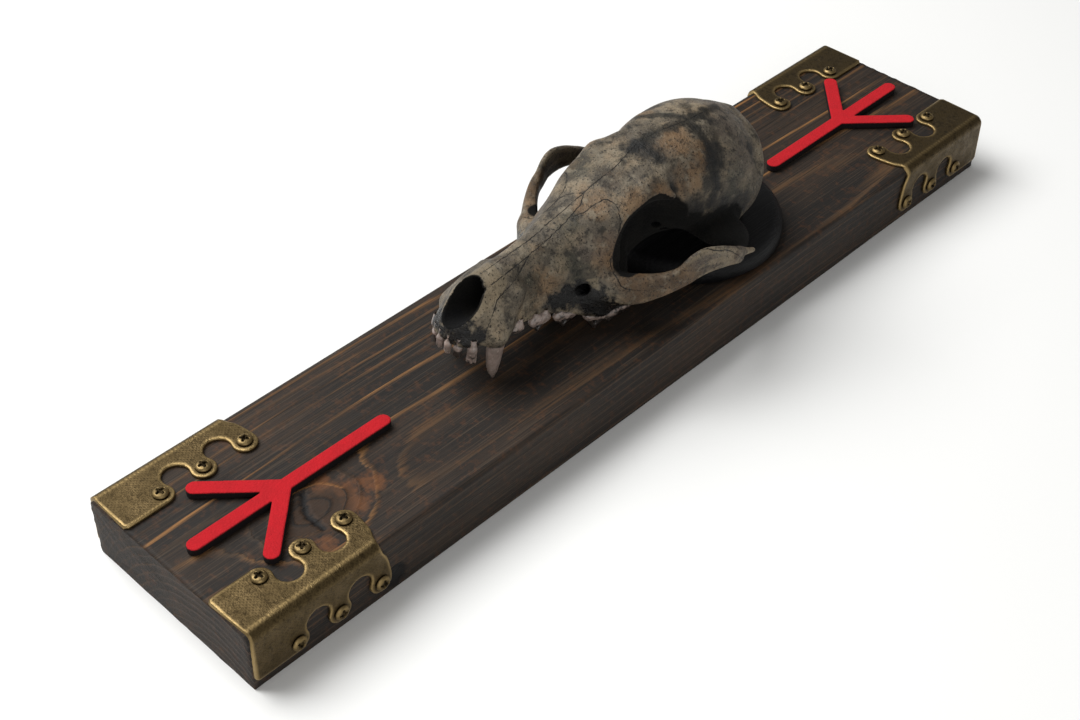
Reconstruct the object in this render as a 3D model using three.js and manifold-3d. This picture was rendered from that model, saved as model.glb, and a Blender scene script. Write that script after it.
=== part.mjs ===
// A red fox skull on a dark plank: cranium with its upper teeth, a black disc under the braincase,
// two red three-tined ornaments and an antique brass plate with six screws on each corner.
// Millimetres. +Z is up, +X is the animal's left, the snout points to -Y.
// The origin is the middle of the plank's underside.

import * as THREE from "three";
import { ConvexGeometry } from "three/addons/geometries/ConvexGeometry.js";
import { mergeVertices } from "three/addons/utils/BufferGeometryUtils.js";
import Module from "manifold-3d";

// Plank
const PLANK_LENGTH = 400;
const PLANK_WIDTH = 84;
const PLANK_THICKNESS = 25.4;
const PLANK_EDGE_RADIUS = 2;
const PLANK_ARRIS = 0.6;

// Clearance between pieces that touch
const GAP = 0.3;

// Black disc that carries the braincase
const DISC_RADIUS = 39;
const DISC_TOP_RADIUS = 34;
const DISC_THICKNESS = 9;
const DISC_BEVEL = 5.5;
const DISC_CENTRE_Y = 53;
const DISC_ARRIS = 0.7;

// Brass corner plates: the lobes carry the screws, the bays between them are round
const PLATE_THICKNESS = 1;
const PLATE_END_GAP = 0.4;
const SCREW_ALONG = [17.8, 35.4, 53];
const SCREW_ACROSS = 15.9;
const LOBE_RADIUS = 4.6;
const BAY_ACROSS = 12.1;
const PLATE_FOLD_END = 54.4;
const PLATE_CORNER_CUT = 1.2;
const PLATE_END_BULGE = 2;
const PLATE_END_WAIST = 6.9;
const SCREW_HEAD_RADIUS = 2.9;
const SCREW_HEAD_HEIGHT = 1.7;

// Red ornaments: a stem that parts into three tines
const ORNAMENT_THICKNESS = 3;
const BAR_WIDTH = 6.2;
const ORNAMENT_STEM_Y = 108;
const ORNAMENT_FORK_Y = 152;
const ORNAMENT_TIP_Y = 188.5;
const ORNAMENT_SIDE_X = 20.5;
const ORNAMENT_SIDE_Y = 173.5;
const ORNAMENT_SHIFT_X = 1.3;

// Skull: its sizes below are those of a skull 148 mm long, x to the left, y back from the front
// of the tooth row, z up from the edge of the tooth sockets
const SKULL_SCALE = 1.045;
const SKULL_AT = [0.7, -75.9, PLANK_THICKNESS + 20.6];
const SKULL_PITCH = THREE.MathUtils.degToRad(-6);
const SKULL_ROLL = THREE.MathUtils.degToRad(3.5);
const SKULL_YAW = THREE.MathUtils.degToRad(-0.3);

// Spacing of the mesh across, along and up the skull: close at the jaw, wide on the braincase
const GRID_X = [[0, 2.9], [25, 3], [36, 3]];
const GRID_Y = [[-6, 2.4], [30, 2.8], [95, 3.2], [118, 4], [148, 3.6]];
const GRID_Z = [[-9, 2.5], [20, 2.8], [30, 3.7], [56, 3.7]];
const RELAX_ROUNDS = 5;

const wasm = await Module();
wasm.setup();

const clamp = (v, low, high) => Math.min(Math.max(v, low), high);
const mix = (a, b, t) => a + (b - a) * t;

// A smooth curve through [position, value] pairs
function curve(pairs) {
  const slopes = pairs.map((p, i) => {
    if (i === 0 || i === pairs.length - 1) return 0;
    const before = (p[1] - pairs[i - 1][1]) / (p[0] - pairs[i - 1][0]);
    const after = (pairs[i + 1][1] - p[1]) / (pairs[i + 1][0] - p[0]);
    return before * after <= 0 ? 0 : (2 * before * after) / (before + after);
  });
  return (at) => {
    const last = pairs.length - 1;
    if (at <= pairs[0][0]) return pairs[0][1];
    if (at >= pairs[last][0]) return pairs[last][1];
    let i = 0;
    while (at > pairs[i + 1][0]) i++;
    const span = pairs[i + 1][0] - pairs[i][0];
    const t = (at - pairs[i][0]) / span;
    const t2 = t * t;
    const t3 = t2 * t;
    return (
      pairs[i][1] * (2 * t3 - 3 * t2 + 1) +
      slopes[i] * span * (t3 - 2 * t2 + t) +
      pairs[i + 1][1] * (3 * t2 - 2 * t3) +
      slopes[i + 1] * span * (t3 - t2)
    );
  };
}

// Rounded joins of two distance values: near minimum and near maximum
function join(a, b, round) {
  const h = Math.max(round - Math.abs(a - b), 0) / round;
  return Math.min(a, b) - (h * h * round) / 4;
}
const meet = (a, b, round) => -join(-a, -b, round);

// Distance to an ellipsoid
function egg(p, centre, radii) {
  const d = [0, 1, 2].map((i) => p[i] - centre[i]);
  const near = Math.hypot(d[0] / radii[0], d[1] / radii[1], d[2] / radii[2]);
  const steep = Math.hypot(d[0] / radii[0] ** 2, d[1] / radii[1] ** 2, d[2] / radii[2] ** 2);
  return steep === 0 ? -Math.min(...radii) : (near * (near - 1)) / steep;
}

// Distance to a rod whose radius changes from one end to the other
function rod(p, from, to, radiusFrom, radiusTo) {
  const along = [0, 1, 2].map((i) => to[i] - from[i]);
  const off = [0, 1, 2].map((i) => p[i] - from[i]);
  const length2 = along[0] ** 2 + along[1] ** 2 + along[2] ** 2;
  const t = clamp((off[0] * along[0] + off[1] * along[1] + off[2] * along[2]) / length2, 0, 1);
  const rest = Math.hypot(...[0, 1, 2].map((i) => off[i] - along[i] * t));
  return rest - mix(radiusFrom, radiusTo, t);
}

// Snout and forehead: top line, bottom line, and half widths low, in the middle and at the shoulder
const topLine = curve([[-2.5, 3], [0, 7.5], [4, 13.5], [9, 19], [15, 20.8], [25, 22.4], [36, 24.4],
  [48, 27.8], [58, 32], [66, 36], [74, 39.6], [82, 42.2], [90, 43.4], [104, 44]]);
const bottomLine = curve([[0, 0], [30, 0], [38, -1], [46, -3], [54, -5.2], [62, -6.2], [69, -5.2], [75, -1],
  [80, 4], [92, 6.5], [104, 9]]);
const lowWidth = curve([[-3, 4], [-1, 7.4], [2, 9.6], [7, 10.4], [12, 12], [17, 12], [23, 10.7], [31, 11.3],
  [38, 12.4], [45, 15], [51, 18.6], [57, 21.2], [63, 21.2], [69, 19], [74, 15],
  [79, 9.5], [100, 8]]);
const middleWidth = curve([[-2.5, 4], [0.5, 8], [7, 9.6], [12, 11], [18, 10.4], [25, 9.8], [33, 10.2],
  [40, 11.6], [48, 14.2], [55, 17.4], [60, 18.8], [64, 17.5], [68, 12], [73, 9],
  [80, 8.4], [92, 9], [100, 12]]);
const shoulderWidth = curve([[0, 7], [9, 7.4], [16, 7.2], [27, 6.6], [38, 7.4], [46, 9], [54, 11.8],
  [60, 14], [66, 16.4], [72, 17.2], [78, 17.8], [84, 17.2], [88, 14.8], [93, 12], [100, 12.6]]);

function face(x, y, z) {
  const side = Math.abs(x);
  const top = topLine(y) - (side * side) / mix(16, 66, clamp((y - 20) / 50, 0, 1));
  const bottom = bottomLine(y);
  const t = clamp((z - bottom - 2) / (topLine(y) - 4 - bottom - 2), 0, 1);
  const low = lowWidth(y);
  const middle = middleWidth(y);
  const high = shoulderWidth(y);
  const width = t < 0.5 ? mix(low, middle, smooth(t * 2)) : mix(middle, high, smooth(t * 2 - 1));
  const wall = side - width;
  const roof = meet(wall, (z - top) * 0.9, mix(6, 4, clamp((y - 50) / 20, 0, 1)));
  const body = meet(roof, bottom - z, 2);
  return meet(meet(body, y - 104, 4), -3 - y, 3);
}

function smooth(t) {
  return t * t * (3 - 2 * t);
}

// The bone without its teeth: below zero inside
function bone(px, y, z) {
  const x = Math.abs(px);
  const p = [x, y, z];
  let d = face(x, y, z);
  d = join(d, egg(p, [0, 111, 27.5], [22.5, 31, 19.5]), 7);
  d = join(d, egg(p, [8, 112, 20], [15, 24, 11]), 6);
  d = join(d, egg(p, [0, 112, 13], [11, 34, 6]), 5);
  d = join(d, rod(p, [12, 80, 35], [19, 85, 33.6], 4, 2), 4);
  d = join(d, rod(p, [0, 120, 45], [0, 140, 39], 1.6, 1.8), 4);
  d = join(d, egg(p, [14.5, 126, 18.5], [8, 12, 11.5]), 5);
  d = join(d, rod(p, [14, 111, 15.5], [29, 114.5, 11], 6.6, 4.4), 4);
  d = join(d, rod(p, [15, 56, 5], [23, 61.5, 6], 5.8, 4.4), 5);
  const occiput = y - 139.5 - (z - 20) * 0.1;
  d = meet(d, occiput, 3);
  d = join(d, rod(p, [15, 130, 14], [17, 133.5, 6.5], 4.2, 2), 3);
  d = join(d, egg(p, [13, 117, 10], [7.6, 11.5, 6.8]), 2);
  d = join(d, egg(p, [7.6, 138.5, 13.5], [4.6, 4.8, 6]), 2.5);
  d = meet(d, -egg(p, [25.5, 76.5, 20.8], [16.5, 14.5, 13.4]), 2.5);
  d = meet(d, -egg(p, [0, 1, 12.2], [7, 19, 6.6]), 1.2);
  d = meet(d, -egg(p, [0, 144, 20.5], [6.4, 12, 5.4]), 1.5);
  d = meet(d, -egg(p, [0, 85, 1], [4.8, 22, 11]), 2);
  d = meet(d, -egg(p, [0, 36, -3.5], [8.5, 34, 6.5]), 3);
  d = meet(d, -egg(p, [0, 60, -7], [10.5, 22, 8]), 3);
  return d;
}

// The corners of a grid cell and the pairs of corners that its twelve edges join
const CORNERS = [[0, 0, 0], [1, 0, 0], [0, 1, 0], [1, 1, 0], [0, 0, 1], [1, 0, 1], [0, 1, 1], [1, 1, 1]];
const EDGES = [[0, 1], [2, 3], [4, 5], [6, 7], [0, 2], [1, 3], [4, 6], [5, 7],
  [0, 4], [1, 5], [2, 6], [3, 7]];
const FACES = [[0, 1, 3, 2], [4, 5, 7, 6], [0, 1, 5, 4], [2, 3, 7, 6], [0, 2, 6, 4], [1, 3, 7, 5]];
const edgeOf = (a, b) => EDGES.findIndex(([c, d]) => (a === c && b === d) || (a === d && b === c));

// Sorts the crossed edges of a cell into its separate sheets of surface
function sheets(inside) {
  const sheet = EDGES.map(([a, b], i) => (inside[a] === inside[b] ? -1 : i));
  const find = (e) => (sheet[e] === e ? e : find(sheet[e]));
  for (const ring of FACES) {
    const crossed = ring.map((c, i) => [c, ring[(i + 1) % 4]]).filter(([a, b]) => inside[a] !== inside[b]);
    const edges = crossed.map(([a, b]) => edgeOf(a, b));
    if (edges.length === 2) sheet[find(edges[0])] = find(edges[1]);
    if (edges.length === 4) {
      const shift = inside[ring[0]] ? 3 : 1;
      for (const i of [0, 2]) {
        const pair = [edges[(i + shift) % 4], edges[(i + shift + 1) % 4]];
        sheet[find(pair[0])] = find(pair[1]);
      }
    }
  }
  return sheet.map((s, i) => (s < 0 ? -1 : find(i)));
}

// Grid lines from the first to the last place of a list of [place, spacing] pairs
function gridLines(spacing) {
  const step = curve(spacing);
  const lines = [spacing[0][0]];
  while (lines.at(-1) < spacing.at(-1)[0]) lines.push(lines.at(-1) + step(lines.at(-1)));
  return lines;
}

// A closed mesh of the surface where a distance value is zero: one vertex for each sheet in each
// grid cell, moved on to the surface, and two triangles across each crossed grid edge
function surface(value, lines) {
  const count = lines.map((line) => line.length);
  const at = (i, j, k) => (k * count[1] + j) * count[0] + i;
  const values = new Float64Array(count[0] * count[1] * count[2]);
  for (let k = 0; k < count[2]; k++)
    for (let j = 0; j < count[1]; j++)
      for (let i = 0; i < count[0]; i++)
        values[at(i, j, k)] = value(lines[0][i], lines[1][j], lines[2][k]);
  const points = [];
  const vertexOf = new Map();
  for (let k = 0; k + 1 < count[2]; k++)
    for (let j = 0; j + 1 < count[1]; j++)
      for (let i = 0; i + 1 < count[0]; i++) {
        const corner = CORNERS.map((c) => values[at(i + c[0], j + c[1], k + c[2])]);
        const inside = corner.map((v) => v < 0);
        if (inside.every((v) => v === inside[0])) continue;
        const sheet = sheets(inside);
        const sums = new Map();
        sheet.forEach((s, e) => {
          if (s < 0) return;
          const [a, b] = EDGES[e];
          const t = corner[a] / (corner[a] - corner[b]);
          const sum = sums.get(s) ?? [0, 0, 0, 0];
          for (let n = 0; n < 3; n++) sum[n] += mix(CORNERS[a][n], CORNERS[b][n], t);
          sum[3]++;
          sums.set(s, sum);
        });
        for (const [s, sum] of sums) {
          const spot = [i, j, k].map((c, n) => mix(lines[n][c], lines[n][c + 1], sum[n] / sum[3]));
          sheet.forEach((other, e) => other === s && vertexOf.set(at(i, j, k) * 12 + e, points.length));
          points.push(settle(value, spot));
        }
      }
  const quads = [];
  const across = [[[0, 1, 0], [0, 0, 1]], [[0, 0, 1], [1, 0, 0]], [[1, 0, 0], [0, 1, 0]]];
  for (let k = 1; k + 1 < count[2]; k++)
    for (let j = 1; j + 1 < count[1]; j++)
      for (let i = 1; i + 1 < count[0]; i++)
        across.forEach(([u, v], axis) => {
          const end = [i, j, k].map((c, n) => c + (n === axis ? 1 : 0));
          const here = values[at(i, j, k)] < 0;
          if (here === values[at(...end)] < 0) return;
          const quad = [[1, 1], [0, 1], [0, 0], [1, 0]].map(([a, b]) => {
            const cell = [i, j, k].map((c, n) => c - u[n] * a - v[n] * b);
            const from = [0, 1, 2].map((n) => u[n] * a + v[n] * b);
            const to = from.map((c, n) => c + (n === axis ? 1 : 0));
            const e = edgeOf(from[0] + 2 * from[1] + 4 * from[2], to[0] + 2 * to[1] + 4 * to[2]);
            return vertexOf.get(at(...cell) * 12 + e);
          });
          quads.push(here ? quad : quad.reverse());
        });
  relax(value, points, quads);
  return solid(points, quads.flatMap((quad) => halves(points, quad)));
}

// Evens the mesh out along the surface: each point moves towards the middle of its neighbours
// and settles on the surface again
function relax(value, points, quads) {
  const around = points.map(() => new Set());
  for (const quad of quads)
    quad.forEach((a, i) => {
      around[a].add(quad[(i + 1) % 4]);
      around[a].add(quad[(i + 3) % 4]);
    });
  for (let round = 0; round < RELAX_ROUNDS; round++) {
    const moved = points.map((p, i) => {
      const near = [...around[i]].map((n) => points[n]);
      const middle = [0, 1, 2].map((n) => near.reduce((sum, q) => sum + q[n], 0) / near.length);
      return settle(value, p.map((c, n) => mix(c, middle[n], 0.5)));
    });
    moved.forEach((p, i) => (points[i] = p));
  }
}

// Moves a point on to the surface, at most a given reach
function settle(value, spot, reach = 1.3) {
  const p = [...spot];
  const h = 0.02;
  for (let round = 0; round < 4; round++) {
    const d = value(...p);
    const slope = [0, 1, 2].map((n) => {
      const q = [...p];
      q[n] += h;
      return (value(...q) - d) / h;
    });
    const steep = slope.reduce((sum, s) => sum + s * s, 0);
    if (steep < 0.05) break;
    for (let n = 0; n < 3; n++) {
      p[n] = clamp(p[n] - (d * slope[n]) / steep, spot[n] - reach, spot[n] + reach);
    }
  }
  return p;
}

// Parts a four-sided face along its shorter diagonal
function halves(points, [a, b, c, d]) {
  const span = (m, n) => Math.hypot(...[0, 1, 2].map((i) => points[m][i] - points[n][i]));
  return span(a, c) < span(b, d) ? [a, b, c, a, c, d] : [a, b, d, b, c, d];
}

function solid(points, triangles) {
  return new wasm.Manifold(
    new wasm.Mesh({
      numProp: 3,
      vertProperties: new Float32Array(points.flat()),
      triVerts: new Uint32Array(triangles),
    }),
  );
}

function solidOf(geometry) {
  const bare = geometry.clone();
  bare.deleteAttribute("normal");
  bare.deleteAttribute("uv");
  const merged = mergeVertices(bare, 1e-4);
  return new wasm.Manifold(
    new wasm.Mesh({
      numProp: 3,
      vertProperties: merged.attributes.position.array,
      triVerts: new Uint32Array(merged.index.array),
    }),
  );
}

// The largest closed surface of a solid, as a geometry
function geometryOf(shape) {
  const parts = shape.decompose().sort((a, b) => b.volume() - a.volume());
  const mesh = parts[0].getMesh();
  const geometry = new THREE.BufferGeometry();
  geometry.setAttribute("position", new THREE.BufferAttribute(new Float32Array(mesh.vertProperties), 3));
  geometry.setIndex(Array.from(mesh.triVerts));
  geometry.computeVertexNormals();
  return geometry;
}

// A closed solid through a row of rings of points, with flat ends
function loft(rings) {
  const sides = rings[0].length;
  const last = (rings.length - 1) * sides;
  const triangles = [];
  for (let r = 0; r + 1 < rings.length; r++)
    for (let s = 0; s < sides; s++) {
      const a = r * sides + s;
      const b = r * sides + ((s + 1) % sides);
      triangles.push(a, a + sides, b, b, a + sides, b + sides);
    }
  for (let s = 1; s + 1 < sides; s++) triangles.push(0, s, s + 1, last, last + s + 1, last + s);
  const points = rings.flat();
  const made = solid(points, triangles);
  return made.volume() > 0 ? made : solid(points, triangles.reverse());
}

// A bar of oval section along stations [x, y, z, half height, half thickness]
function strap(stations, rings, sides) {
  const line = new THREE.CatmullRomCurve3(stations.map(([x, y, z]) => new THREE.Vector3(x, y, z)));
  const up = new THREE.Vector3(0, 0, 1);
  return loft(
    Array.from({ length: rings }, (_, r) => {
      const t = r / (rings - 1);
      const i = Math.min(Math.floor(t * (stations.length - 1)), stations.length - 2);
      const part = t * (stations.length - 1) - i;
      const tall = mix(stations[i][3], stations[i + 1][3], part);
      const thick = mix(stations[i][4], stations[i + 1][4], part);
      const along = line.getTangent(t);
      const rise = up.clone().addScaledVector(along, -along.z).normalize();
      const side = new THREE.Vector3().crossVectors(along, rise);
      return Array.from({ length: sides }, (_, s) => {
        const a = (s * 2 * Math.PI) / sides;
        const spot = line.getPoint(t);
        spot.addScaledVector(rise, tall * Math.cos(a)).addScaledVector(side, thick * Math.sin(a));
        return [spot.x, spot.y, spot.z];
      });
    }),
  );
}

// Cheek arch from the upper jaw round to the ear region, and the crest across the back of the braincase
const ARCH = [[13, 54, 5, 5.5, 3], [20, 59, 5.6, 6, 3.4], [26.4, 64.6, 6.9, 5.9, 3],
  [31.4, 70.3, 8.9, 4.6, 2.5], [34.4, 74.8, 10.9, 4.1, 2.3], [35.9, 78.8, 12.5, 4.6, 2.1],
  [37.2, 84, 16, 6.2, 2], [38, 91, 15.6, 5.4, 2], [38.4, 98, 13.2, 4.7, 2], [38.3, 105, 10.4, 4.1, 2],
  [37.6, 111.5, 8, 3.6, 2.5], [34.5, 116.2, 7.6, 3.2, 3.6], [28, 117.4, 10.6, 3.4, 4.2],
  [20, 116.5, 15, 3.6, 4.6]];
const CREST = [[-22, 126.5, 14, 2.6, 2.6], [-22, 130.5, 21, 2.6, 3], [-17.5, 134.5, 29, 2.8, 3.2],
  [-10, 138, 35.5, 2.6, 3], [0, 139.6, 38.2, 2.8, 3], [10, 138, 35.5, 2.6, 3], [17.5, 134.5, 29, 2.8, 3.2],
  [22, 130.5, 21, 2.6, 3], [22, 126.5, 14, 2.6, 2.6]];

// Teeth. Each is a root ring sunk into the jaw, a ring at the neck and one or more cusps:
// [x, y] of its middle, the height of its socket's edge, half length and half width, the turn of its
// long side, and its cusps as [along, across, drop]
const ROOT_DEPTH = 4;
const INCISORS = [
  { at: [1.9, -0.4], edge: 0, half: [1.3, 1.5], turn: 0, drop: 4.2 },
  { at: [5.1, 0.8], edge: 0, half: [1.5, 1.7], turn: 0.35, drop: 4.6 },
  { at: [8.7, 3.8], edge: 0, half: [2, 2.1], turn: 0.7, drop: 6.4 },
];
const CANINE = { neck: [11.2, 11.8, 1], tip: [10.6, 13.4, -17], bow: [0.6, -1.6, 0], half: [2.4, 3.5] };
const CHEEK_TEETH = [
  { at: [10.4, 23], edge: 0, half: [2.2, 1.4], turn: 1.45, cusps: [[0, 0, 2.4]] },
  { at: [11.5, 32.8], edge: -0.2, half: [4.4, 1.6], turn: 1.42, cusps: [[-0.6, 0, 5.4], [2.3, 0, 2.4]] },
  { at: [13.2, 44.4], edge: -2.4, half: [5, 1.8], turn: 1.34, cusps: [[-0.4, 0, 5.6], [2.8, 0, 3]] },
  { at: [18.5, 57.4], edge: -5, half: [6.9, 2.5], turn: 1.22, cusps: [[-1.6, 0.6, 6.8], [3.6, 0.4, 4.8]] },
  {
    at: [16.8, 67.2],
    edge: -5.4,
    half: [3.9, 4.8],
    turn: 1.4,
    cusps: [[-1.6, -3.2, 3.8], [1.6, -3, 3.4], [0, 3, 2.4]],
  },
  { at: [14.4, 73.2], edge: -3, half: [2.3, 3.2], turn: 1.4, cusps: [[-0.8, -1.6, 3.4], [0.6, 1.4, 2.6]] },
];

function cheekTooth({ at, edge, half, turn, cusps }, sides = 8) {
  const put = (along, across, z) => {
    const x = at[0] + Math.cos(turn) * along + Math.sin(turn) * across * -1;
    const y = at[1] + Math.sin(turn) * along + Math.cos(turn) * across;
    return new THREE.Vector3(x, y, edge + z);
  };
  const ring = (grow, z) =>
    Array.from({ length: sides }, (_, i) => {
      const a = (i * 2 * Math.PI) / sides;
      return put(half[0] * grow * Math.cos(a), half[1] * grow * Math.sin(a), z);
    });
  const root = [...ring(0.7, ROOT_DEPTH), ...ring(0.92, 0.6), ...ring(1, -0.9)];
  const neck = solidOf(new ConvexGeometry(root));
  return cusps.reduce((tooth, [along, across, drop]) => {
    const foot = ring(0.96, -0.2).map((v) => put(0, 0, 0).lerp(v, 0.9));
    const tip = [-0.5, 0.5].map((s) => put(along + s, across, -drop));
    return tooth.add(solidOf(new ConvexGeometry([...foot, ...tip])));
  }, neck);
}

function incisor({ at, edge, half, turn, drop }) {
  const cusps = [-0.4, 0.4].map((side) => [half[0] * side, -0.3, drop]);
  return cheekTooth({ at, edge, half, turn, cusps }, 6);
}

// The canine bows forward between its root and its tip
function canine({ neck, tip, bow, half }, rings = 6, sides = 8) {
  const from = new THREE.Vector3(...neck).add(new THREE.Vector3(0, 1, ROOT_DEPTH));
  const to = new THREE.Vector3(...tip);
  const middle = new THREE.Vector3(...neck).lerp(to, 0.5).add(new THREE.Vector3(...bow));
  const spine = new THREE.QuadraticBezierCurve3(from, middle, to);
  const grow = curve([[0, 0.75], [0.2, 1], [0.6, 0.72], [0.9, 0.34], [1, 0.16]]);
  const points = Array.from({ length: rings }, (_, r) => {
    const t = r / (rings - 1);
    const spot = spine.getPoint(t);
    return Array.from({ length: sides }, (_, s) => {
      const a = (s * 2 * Math.PI) / sides;
      const x = spot.x + half[0] * grow(t) * Math.cos(a);
      const y = spot.y + half[1] * grow(t) * Math.sin(a);
      return [x, y, spot.z];
    });
  });
  return loft(points);
}

function mirrored(shape) {
  return shape.mirror([1, 0, 0]);
}

function skullGeometry() {
  const right = gridLines(GRID_X);
  const across = [...right.slice(1).reverse().map((x) => -x), ...right];
  const lines = [across, gridLines(GRID_Y), gridLines(GRID_Z)];
  let skull = surface(bone, lines).add(strap(CREST, 15, 6));
  const left = [
    strap(ARCH, 19, 8),
    ...INCISORS.map(incisor),
    canine(CANINE),
    ...CHEEK_TEETH.map((tooth) => cheekTooth(tooth)),
  ];
  for (const piece of left) skull = skull.add(piece).add(mirrored(piece));
  const geometry = geometryOf(skull);
  geometry.scale(SKULL_SCALE, SKULL_SCALE, SKULL_SCALE);
  return geometry;
}

// Plank, with its long edges rounded, drawn as its cross-section and run along Y
function plankGeometry() {
  const w = PLANK_WIDTH / 2;
  const r = PLANK_EDGE_RADIUS;
  const section = new THREE.Shape();
  section.moveTo(-w, PLANK_ARRIS);
  section.lineTo(-w + PLANK_ARRIS, 0);
  section.lineTo(w - PLANK_ARRIS, 0);
  section.lineTo(w, PLANK_ARRIS);
  section.absarc(w - r, PLANK_THICKNESS - r, r, 0, Math.PI / 2);
  section.absarc(-w + r, PLANK_THICKNESS - r, r, Math.PI / 2, Math.PI);
  const run = { depth: PLANK_LENGTH, bevelEnabled: false, curveSegments: 4 };
  const geometry = new THREE.ExtrudeGeometry(section, run);
  geometry.rotateX(Math.PI / 2);
  geometry.translate(0, PLANK_LENGTH / 2, 0);
  return geometry;
}

// Disc: flat below, its upper rim sloped and rounded
function discGeometry() {
  const profile = [
    [0, 0],
    [DISC_RADIUS - DISC_ARRIS, 0],
    [DISC_RADIUS, DISC_ARRIS],
    [DISC_RADIUS, DISC_THICKNESS - DISC_BEVEL],
    [mix(DISC_RADIUS, DISC_TOP_RADIUS, 0.35), DISC_THICKNESS - DISC_BEVEL * 0.4],
    [DISC_TOP_RADIUS, DISC_THICKNESS],
    [0, DISC_THICKNESS],
  ].map(([x, y]) => new THREE.Vector2(x, y));
  const geometry = new THREE.LatheGeometry(profile, 30);
  geometry.rotateX(Math.PI / 2);
  return geometry;
}

// One flange of a corner plate as [along, across] points, from the fold's near end round to its far end
function flangeOutline() {
  const points = [
    [PLATE_END_GAP, PLANK_EDGE_RADIUS],
    [PLATE_END_GAP, SCREW_ACROSS + LOBE_RADIUS - PLATE_CORNER_CUT],
    [PLATE_END_GAP + PLATE_CORNER_CUT, SCREW_ACROSS + LOBE_RADIUS],
  ];
  const arc = (u, v, radius, from, to, steps) => {
    for (let i = 0; i <= steps; i++) {
      const a = mix(from, to, i / steps);
      points.push([u + radius * Math.cos(a), v + radius * Math.sin(a)]);
    }
  };
  const rise = SCREW_ACROSS - BAY_ACROSS;
  SCREW_ALONG.forEach((u, i) => {
    const next = SCREW_ALONG[i + 1];
    if (i > 0) points.pop();
    const half = next ? (next - u) / 2 : 0;
    const slant = Math.atan2(-rise, half);
    const before = i === 0 ? Math.PI / 2 : Math.PI - Math.atan2(-rise, (u - SCREW_ALONG[i - 1]) / 2);
    if (next) {
      arc(u, SCREW_ACROSS, LOBE_RADIUS, before, slant, i === 0 ? 4 : 8);
      const bay = Math.hypot(half, rise) - LOBE_RADIUS;
      points.pop();
      arc(u + half, BAY_ACROSS, bay, Math.PI + slant, 2 * Math.PI - slant, 9);
    } else arc(u, SCREW_ACROSS, LOBE_RADIUS, before, 0, 7);
  });
  points.push([SCREW_ALONG[2] + LOBE_RADIUS, BAY_ACROSS]);
  points.push([PLATE_FOLD_END + PLATE_END_BULGE, PLATE_END_WAIST]);
  points.push([PLATE_FOLD_END, PLANK_EDGE_RADIUS]);
  return points;
}

// A corner plate of sheet metal, folded over the plank's long edge, for the corner at +X and -Y
function plateGeometry() {
  const outline = flangeOutline();
  const faces = THREE.ShapeUtils.triangulateShape(outline.map((p) => new THREE.Vector2(...p)), []);
  const n = outline.length;
  const steps = 4;
  const foldX = PLANK_WIDTH / 2 - PLANK_EDGE_RADIUS;
  const foldZ = PLANK_THICKNESS - PLANK_EDGE_RADIUS;
  const alongY = (u) => u - PLANK_LENGTH / 2;
  const points = [];
  for (const rise of [GAP, GAP + PLATE_THICKNESS]) {
    for (const [u, v] of outline) points.push([PLANK_WIDTH / 2 - v, alongY(u), PLANK_THICKNESS + rise]);
    for (const [u, v] of outline) points.push([PLANK_WIDTH / 2 + rise, alongY(u), PLANK_THICKNESS - v]);
    for (let i = 1; i < steps; i++) {
      const a = (i * Math.PI) / 2 / steps;
      const r = PLANK_EDGE_RADIUS + rise;
      for (const [u] of [outline[0], outline[n - 1]])
        points.push([foldX + r * Math.sin(a), alongY(u), foldZ + r * Math.cos(a)]);
    }
  }
  const layer = points.length / 2;
  // The rows of the fold run from the top flange's first and last point to the side flange's
  const near = [0, ...Array.from({ length: steps - 1 }, (_, i) => 2 * n + 2 * i), n];
  const far = [n - 1, ...Array.from({ length: steps - 1 }, (_, i) => 2 * n + 2 * i + 1), 2 * n - 1];
  const skin = [];
  const top = faces.flatMap(([a, b, c]) => [a, b, c]);
  const turned = THREE.ShapeUtils.isClockWise(outline.map((p) => new THREE.Vector2(...p)));
  for (let i = 0; i < top.length; i += 3) {
    const [a, b, c] = top.slice(i, i + 3);
    skin.push(...(turned ? [a, b, c] : [a, c, b]));
    skin.push(...(turned ? [n + a, n + c, n + b] : [n + a, n + b, n + c]));
  }
  for (let i = 0; i < steps; i++) skin.push(near[i], near[i + 1], far[i], far[i], near[i + 1], far[i + 1]);
  const rim = [];
  for (let i = 0; i + 1 < n; i++) rim.push([i + 1, i], [n + i, n + i + 1]);
  for (let i = 0; i < steps; i++) rim.push([near[i], near[i + 1]], [far[i + 1], far[i]]);
  const triangles = [];
  for (let i = 0; i < skin.length; i += 3) {
    triangles.push(layer + skin[i], layer + skin[i + 1], layer + skin[i + 2]);
    triangles.push(skin[i], skin[i + 2], skin[i + 1]);
  }
  for (const [a, b] of rim) triangles.push(a, layer + b, layer + a, a, b, layer + b);
  const geometry = new THREE.BufferGeometry();
  geometry.setAttribute("position", new THREE.BufferAttribute(new Float32Array(points.flat()), 3));
  geometry.setIndex(triangles);
  geometry.computeVertexNormals();
  return geometry;
}

// Screw head: a low dome, its flat side down
function screwGeometry() {
  const r = SCREW_HEAD_RADIUS;
  const h = SCREW_HEAD_HEIGHT;
  const rim = [[0, 0], [r, 0], [r, h * 0.3], [r * 0.72, h * 0.8], [0, h]];
  const profile = rim.map((p) => new THREE.Vector2(...p));
  const geometry = new THREE.LatheGeometry(profile, 10);
  geometry.rotateX(Math.PI / 2);
  return geometry;
}

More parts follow.
